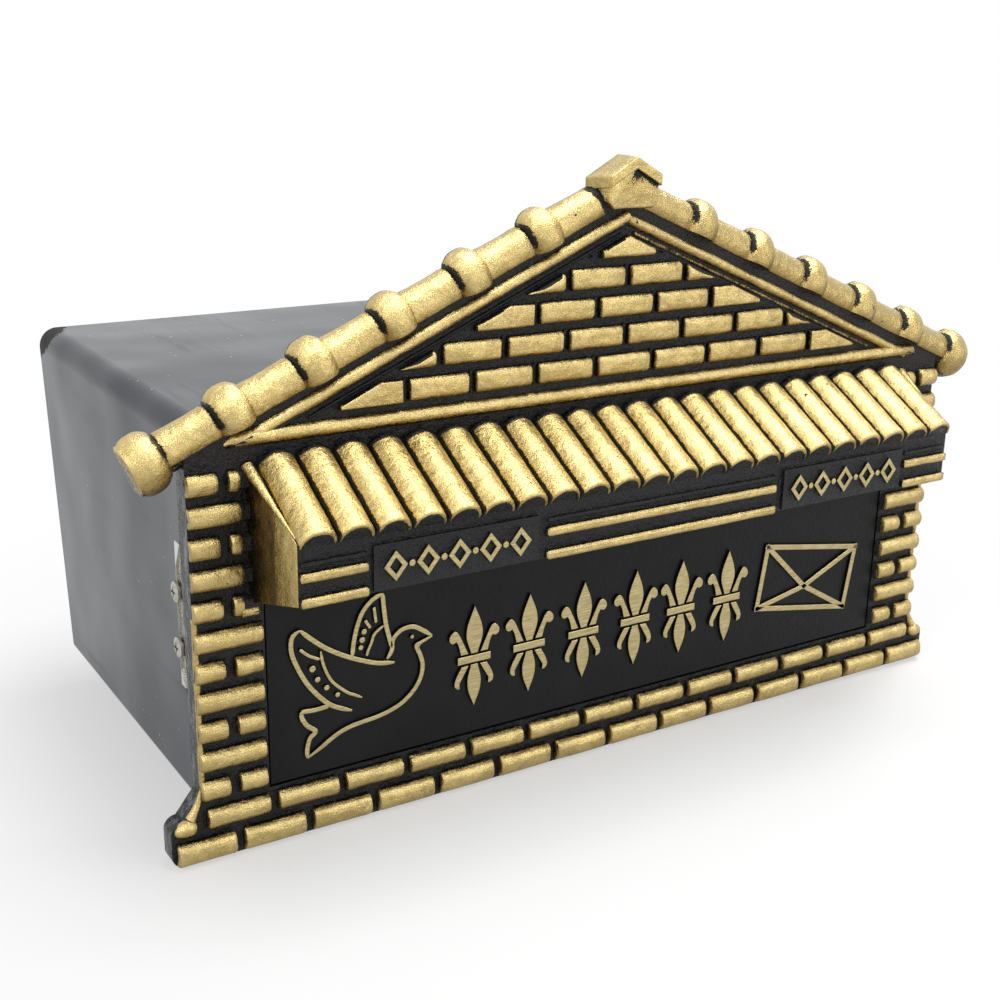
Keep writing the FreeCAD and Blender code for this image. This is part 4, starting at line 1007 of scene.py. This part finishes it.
class FasciaBars(bpy.types.Operator):
    """Rounded bars on the fascia of the hood and the black ledge above them"""
    bl_idname = "post_box.fascia_bars"
    bl_label = "Fascia bars"

    def execute(self, context):
        half = 1.75
        made = []
        for level in BAR_LEVELS:
            for a, b in BAR_SPANS:
                bar = block("Bar", (a, FASCIA - half, level - half), (b, FASCIA + BEDDING, level + half))
                made.append(soften(bar, 1.15, 3))
        bars = tidy_normals(divide(weld("fascia_bars", made), 12))
        lumps(bars, 7, 0.4, 0.35)
        lumps(bars, 2.5, 0.15, 0.35)

        def crest(co, normal):
            return 0.3 + ramp(-normal.y, 0.0, 0.5) * 0.7 - 0.25 * max(normal.z - 0.7, 0) / 0.3

        rub(bars, crest)
        dress(bars, HOUSE, COATS["gold"])
        ledges = []
        for a, b in BAR_SPANS:
            ledge = block("Ledge", (a + 0.4, FASCIA - 0.8, 117.6), (b - 0.4, FASCIA + BEDDING, 119.4))
            ledges.append(soften(ledge, 0.6, 3))
        ledge = divide(weld("fascia_ledges", ledges), 8)
        lumps(ledge, 5, 0.5, 0.4)
        dress(ledge, HOUSE, COATS["cast"])
        return {"FINISHED"}


def lozenge(x, z, half, tall):
    """Outline of a lozenge round a middle."""
    return [(x, z + tall), (x - half, z), (x, z - tall), (x + half, z)]


def bead(x, z, radius):
    """Outline of a round dot."""
    handle = radius * 0.5523
    return [(x, z + radius, (-handle, 0)), (x - radius, z, (0, -handle)),
            (x, z - radius, (handle, 0)), (x + radius, z, (0, handle))]


class SignPlates(bpy.types.Operator):
    """Raised lozenges and beads on the two plates of the fascia"""
    bl_idname = "post_box.sign_plates"
    bl_label = "Sign plates"

    def execute(self, context):
        face = FASCIA - PLATE_RISE
        plate, level, step = 90.75, 112.8, 12.4
        parts = []
        for side in (-1, 1):
            for k in range(-2, 3):
                x = side * plate + k * step
                ring = [lozenge(x, level, 4.6, 5.6), lozenge(x, level, 2.3, 2.9)]
                parts.append(raised_plate("Lozenge", ring, face, 0.9, 0.3))
                if k < 2:
                    parts.append(raised_plate("Bead", [bead(x + step / 2, level, 1.25)], face, 0.9, 0.3))
        signs = weld("sign_plates", parts)
        rub(signs, sign_rub)
        dress(signs, HOUSE, COATS["sign"], 30)
        return {"FINISHED"}


def leaf_spray(x, z):
    """Outlines of one upright ornament: a spear leaf, a band and two curled leaves, 42 mm high."""
    def at(points):
        moved = []
        for corner in points:
            moved.append((x + corner[0], z + corner[1], *corner[2:]))
        return moved

    spear = [(0, 21), (-3.6, 11, (-0.6, -4)), (-1.5, 1.2), (1.5, 1.2), (3.6, 11, (-0.6, 4))]
    tail = [(0, -21), (3.0, -12, (0.4, 4)), (1.5, -3.2), (-1.5, -3.2), (-3.0, -12, (0.4, -4))]
    band = [(-7.4, 0.6), (-7.4, -2.6), (7.4, -2.6), (7.4, 0.6)]
    shapes = [at(spear), at(tail), at(band)]
    for s in (-1, 1):
        curl = [
            (s * 2.6, 1.4), (s * 6.4, 9.5, (s * 1.6, 3.4)), (s * 10.6, 10.6, (s * 1.2, -1.6)),
            (s * 9.6, 6.9, (s * -1.4, -0.2)), (s * 7.6, 6.6, (s * -0.9, -1.6)), (s * 6.0, 1.4),
        ]
        root = [
            (s * 2.4, -3.4), (s * 5.6, -3.4), (s * 8.4, -8.6, (s * 0.9, -2.4)),
            (s * 7.0, -12.6, (s * -1.5, -0.3)), (s * 6.2, -9.8, (s * -0.8, 1.2)),
        ]
        shapes += [at(curl), at(root)]
    return shapes


class FlapSigns(bpy.types.Operator):
    """Raised signs on the letter flap: a row of leaf ornaments and an envelope"""
    bl_idname = "post_box.flap_signs"
    bl_label = "Flap signs"

    def execute(self, context):
        parts = []
        places, level = (-64.4, -39.3, -13.3, 12.6, 36.5, 61.4), 55.5
        for x in places:
            for shape in leaf_spray(x, level):
                parts.append(raised_plate("Leaf", [shape], FLAP_FACE, 1.3, 0.35))
        leaves = weld("leaf_ornaments", parts)
        rub(leaves, sign_rub)
        dress(leaves, FLAP, COATS["sign"], 30)

        tl, tr, br, bl = [Vector(p) for p in ((83.3, 73.9), (136.2, 65.2), (131.9, 36.9), (79.3, 46.0))]
        tip = Vector((106.4, 51.6))
        parts = []
        for a, b in ((tl, tr), (tr, br), (br, bl), (bl, tl), (tl, tip), (tr, tip), (bl, tip), (br, tip)):
            way = (b - a).normalized() * 1.25
            out = Vector((-way.y, way.x))
            bar = [a - way + out, a - way - out, b + way - out, b + way + out]
            parts.append(raised_plate("Envelope bar", [[(p.x, p.y) for p in bar]], FLAP_FACE, 1.2, 0.35))
        envelope = weld("envelope_sign", parts)
        rub(envelope, sign_rub)
        dress(envelope, FLAP, COATS["sign"], 30)
        return {"FINISHED"}


def smooth_line(points, steps=6):
    """Points of a smooth open line through the given ones."""
    made = []
    for i in range(len(points) - 1):
        p0, p1 = Vector(points[max(i - 1, 0)]), Vector(points[i])
        p2, p3 = Vector(points[i + 1]), Vector(points[min(i + 2, len(points) - 1)])
        for k in range(steps):
            t = k / steps
            made.append(0.5 * ((2 * p1) + (p2 - p0) * t + (2 * p0 - 5 * p1 + 4 * p2 - p3) * t**2
                               + (3 * p1 - p0 - 3 * p2 + p3) * t**3))
    made.append(Vector(points[-1]))
    return made


def stroke(name, points, width, face, height):
    """A raised stroke with a flat top and thin ends along a smooth line of x and z in millimetres."""
    line = smooth_line(points)
    left, right = [], []
    for i, p in enumerate(line):
        way = (line[min(i + 1, len(line) - 1)] - line[max(i - 1, 0)]).normalized()
        share = i / (len(line) - 1)
        wide = width / 2 * min(1.0, 0.45 + 6 * min(share, 1 - share))
        out = Vector((-way.y, way.x)) * wide
        left.append(p + out)
        right.append(p - out)
    outline = [(p.x, p.y) for p in left + right[::-1]]
    return raised_plate(name, [outline], face, height, 0.32)


class Dove(bpy.types.Operator):
    """A flying dove in raised lines on the letter flap"""
    bl_idname = "post_box.dove"
    bl_label = "Dove"

    def execute(self, context):
        lines = [
            # back, head with the beak, and breast
            [(-136.5, 81.2), (-132.2, 77.0), (-126.6, 72.3), (-120.0, 68.1), (-113.2, 64.7), (-105.8, 61.8),
             (-98.8, 60.6)],
            [(-102.0, 62.5), (-100.0, 65.7), (-99.5, 69.7), (-96.9, 72.4), (-93.9, 73.4), (-90.6, 73.1),
             (-87.3, 71.2), (-82.9, 67.9)],
            [(-82.9, 67.9), (-88.3, 66.0), (-89.6, 65.0), (-88.0, 61.1), (-87.0, 56.9), (-87.8, 52.1),
             (-90.6, 47.5), (-95.3, 43.6), (-100.9, 41.3), (-107.0, 40.0), (-113.6, 39.4), (-119.5, 38.3),
             (-124.5, 36.2), (-129.4, 33.3), (-134.8, 30.5)],
            # tail
            [(-134.8, 30.5), (-134.8, 34.0), (-133.6, 38.1), (-131.3, 40.4), (-134.5, 43.4), (-136.4, 46.6),
             (-136.9, 49.5)],
            [(-136.9, 49.5), (-131.5, 49.0), (-125.7, 49.3)],
            # near wing
            [(-136.5, 81.2), (-139.5, 79.0), (-139.9, 73.5), (-137.6, 66.7), (-134.3, 60.2), (-130.1, 54.5),
             (-125.7, 50.0), (-121.3, 47.3), (-116.5, 45.2)],
            # far wing
            [(-103.6, 88.9), (-107.8, 87.2), (-111.7, 83.3), (-114.0, 78.1), (-115.5, 72.0), (-116.2, 66.2)],
            [(-103.6, 88.9), (-103.2, 83.7), (-102.3, 76.4), (-101.1, 71.3), (-99.9, 66.7)],
        ]
        feathers = [
            # wavy inner line and quill of the near wing, then of the far wing
            [(-128.6, 71.6), (-127.9, 67.1), (-126.1, 61.9), (-123.8, 58.0), (-120.2, 54.5), (-117.8, 52.5),
             (-115.4, 51.2), (-112.3, 49.4)],
            [(-136.7, 73.9), (-133.3, 70.8), (-129.0, 68.4)],
            [(-103.2, 76.2), (-106.9, 73.7), (-108.3, 70.4), (-109.7, 67.4), (-110.3, 65.6)],
            [(-107.1, 84.3), (-106.7, 81.1), (-106.3, 77.9)],
            [(-110.8, 79.8), (-109.8, 78.2), (-108.6, 76.3)],
        ]
        dots = [(-131.9, 65.3, 1.3), (-130.0, 60.7, 1.1), (-126.5, 56.7, 1.1), (-122.2, 52.9, 1.0),
                (-111.2, 75.4, 1.15), (-112.0, 72.3, 1.2), (-112.6, 69.4, 1.0), (-91.4, 69.2, 0.8)]
        parts = [stroke("Dove line", line, 1.9, FLAP_FACE, 1.2) for line in lines]
        parts += [stroke("Feather", line, 1.3, FLAP_FACE, 1.1) for line in feathers]
        parts += [raised_plate("Dot", [bead(*dot)], FLAP_FACE, 1.1, 0.3) for dot in dots]
        dove = weld("dove_sign", parts)
        rub(dove, sign_rub)
        dress(dove, FLAP, COATS["sign"], 30)
        return {"FINISHED"}


class EdgeLines(bpy.types.Operator):
    """The rubbed front edges of the columns"""
    bl_idname = "post_box.edge_lines"
    bl_label = "Edge lines"

    def execute(self, context):
        parts = []
        for side in (-1, 1):
            points = [(side * (COLUMN_SIDE - 0.95), GROUND + 0.3, 25 + 69 * k / 46) for k in range(47)]
            radii = [1.12 + 0.16 * math.sin(k * 1.7) * math.sin(k * 0.6) for k in range(46)] + [0.3]
            parts.append(wire("Column edge", points, radii))
        lines = weld("edge_lines", parts)
        lumps(lines, 6, 0.3, 0.4)
        rub(lines, lambda co, normal: 0.8)
        dress(lines, HOUSE, COATS["gold"], 60)
        return {"FINISHED"}


def look(azimuth, down, roll):
    """Turns a camera to an azimuth from +Y towards +X, a downward angle and a roll."""
    level = Vector((math.sin(azimuth), math.cos(azimuth), 0))
    forward = level * math.cos(down) - Vector((0, 0, math.sin(down)))
    side = Vector((math.cos(azimuth), -math.sin(azimuth), 0))
    over = side.cross(forward)
    right = side * math.cos(roll) + over * math.sin(roll)
    top = -side * math.sin(roll) + over * math.cos(roll)
    return Matrix((right, top, -forward)).transposed().to_4x4()


def seen_directly(nodes, links):
    """A value of 1 for rays from the camera and off or through glossy surfaces."""
    paths = nodes.new("ShaderNodeLightPath")
    total = paths.outputs["Is Camera Ray"]
    for name in ("Is Glossy Ray", "Is Transmission Ray"):
        both = nodes.new("ShaderNodeMath")
        both.operation = "MAXIMUM"
        links.new(total, both.inputs[0])
        links.new(paths.outputs[name], both.inputs[1])
        total = both.outputs[0]
    return total


def white_floor():
    """A pale floor that takes the shadow near the object and turns into the white backdrop around it."""
    mix = Mixer("White floor")
    grain = mix.noise(60, 3)
    mix.bump((grain, 0.0001))
    mix.set(Base_Color=(0.92, 0.92, 0.92), Roughness=mix.spread(grain, 0.3, 0.7, 0.75, 0.85), IOR=1.2)
    nodes, links = mix.tree.nodes, mix.tree.links
    far = mix.spread(mix.distance((0.0, 0.06, 0.0)), 0.15, 0.38, 0.5, 1.0)
    white = nodes.new("ShaderNodeEmission")
    white.inputs["Color"].default_value = (1, 1, 1, 1)
    white.inputs["Strength"].default_value = 1.0
    either = nodes.new("ShaderNodeMixShader")
    links.new(mix.math("MULTIPLY", far, seen_directly(nodes, links)), either.inputs[0])
    links.new(mix.shader.outputs[0], either.inputs[1])
    links.new(white.outputs[0], either.inputs[2])
    links.new(either.outputs[0], nodes["Material Output"].inputs["Surface"])
    return mix.material


class Stage(bpy.types.Operator):
    """Floor, lamps, world and the camera at the photograph's angle"""
    bl_idname = "post_box.stage"
    bl_label = "Stage"

    def execute(self, context):
        scene = context.scene
        eye = bpy.data.objects.new("Camera", bpy.data.cameras.new("Camera"))
        scene.collection.objects.link(eye)
        eye.matrix_world = Matrix.Translation((-0.3247, -0.4399, 0.2823)) @ look(
            math.radians(32.11), math.radians(18.0), math.radians(1.08))
        eye.data.lens = 51.466
        eye.data.sensor_width = 36
        eye.data.clip_start = 0.01
        scene.camera = eye

        deselect()
        bpy.ops.mesh.primitive_plane_add(size=12, location=(0, 0, -0.0004))
        floor = settle(bpy.context.object)
        floor.name = "floor"
        floor.data.materials.append(white_floor())

        world = bpy.data.worlds.new("World")
        scene.world = world
        world.use_nodes = True
        nodes, links = world.node_tree.nodes, world.node_tree.links
        nodes.clear()
        dim, white = nodes.new("ShaderNodeBackground"), nodes.new("ShaderNodeBackground")
        dim.inputs["Color"].default_value = white.inputs["Color"].default_value = (1, 1, 1, 1)
        dim.inputs["Strength"].default_value = 0.22
        white.inputs["Strength"].default_value = 1.0
        either, out = nodes.new("ShaderNodeMixShader"), nodes.new("ShaderNodeOutputWorld")
        links.new(seen_directly(nodes, links), either.inputs[0])
        links.new(dim.outputs[0], either.inputs[1])
        links.new(white.outputs[0], either.inputs[2])
        links.new(either.outputs[0], out.inputs["Surface"])

        for name, spot, size, power in (
            ("Key", (0.3, -0.05, 1.65), 0.8, 17),
            ("Top", (1.05, 0.35, 1.6), 0.55, 8),
            ("Left", (-1.3, -0.6, 1.1), 0.6, 7),
            ("Front", (0.9, -1.5, 0.5), 0.6, 6),
        ):
            lamp = bpy.data.lights.new(name, "AREA")
            lamp.size = size
            lamp.energy = power
            obj = bpy.data.objects.new(name, lamp)
            scene.collection.objects.link(obj)
            aim = Vector((0, 0.03, 0.1)) - Vector(spot)
            obj.matrix_world = Matrix.Translation(spot) @ aim.to_track_quat("-Z", "Y").to_matrix().to_4x4()
        scene.view_settings.view_transform = "Standard"
        return {"FINISHED"}


class PostBoxPanel(bpy.types.Panel):
    """The sizes, colours and pieces of the post box"""
    bl_label = "Post Box"
    bl_idname = "VIEW3D_PT_post_box"
    bl_space_type = "VIEW_3D"
    bl_region_type = "UI"
    bl_category = "Post Box"

    def draw(self, context):
        for group in ("post_box_bricks", "post_box_roof", "post_box_paints"):
            settings = getattr(context.scene, group)
            for name in settings.__annotations__:
                self.layout.prop(settings, name)
        for piece in PIECES:
            self.layout.operator(piece.bl_idname)


GROUPS = {"post_box_bricks": BrickSizes, "post_box_roof": RoofSizes, "post_box_paints": Paints}
PIECES = (PaintFrame, Stage, WallBricks, GableBricks, GableBeads, RoofRolls, RidgeCap, HoodTiles, HoodCheeks,
          FasciaBars, SignPlates, FlapSigns, Dove, EdgeLines)


def register():
    for group in GROUPS.values():
        bpy.utils.register_class(group)
    for piece in PIECES:
        bpy.utils.register_class(piece)
    bpy.utils.register_class(PostBoxPanel)
    for name, group in GROUPS.items():
        setattr(bpy.types.Scene, name, bpy.props.PointerProperty(type=group))


def unregister():
    for name in GROUPS:
        delattr(bpy.types.Scene, name)
    bpy.utils.unregister_class(PostBoxPanel)
    for piece in reversed(PIECES):
        bpy.utils.unregister_class(piece)
    for group in GROUPS.values():
        bpy.utils.unregister_class(group)


def main():
    register()
    for piece in PIECES:
        area, name = piece.bl_idname.split(".")
        getattr(getattr(bpy.ops, area), name)()


if __name__ == "__main__":
    main()
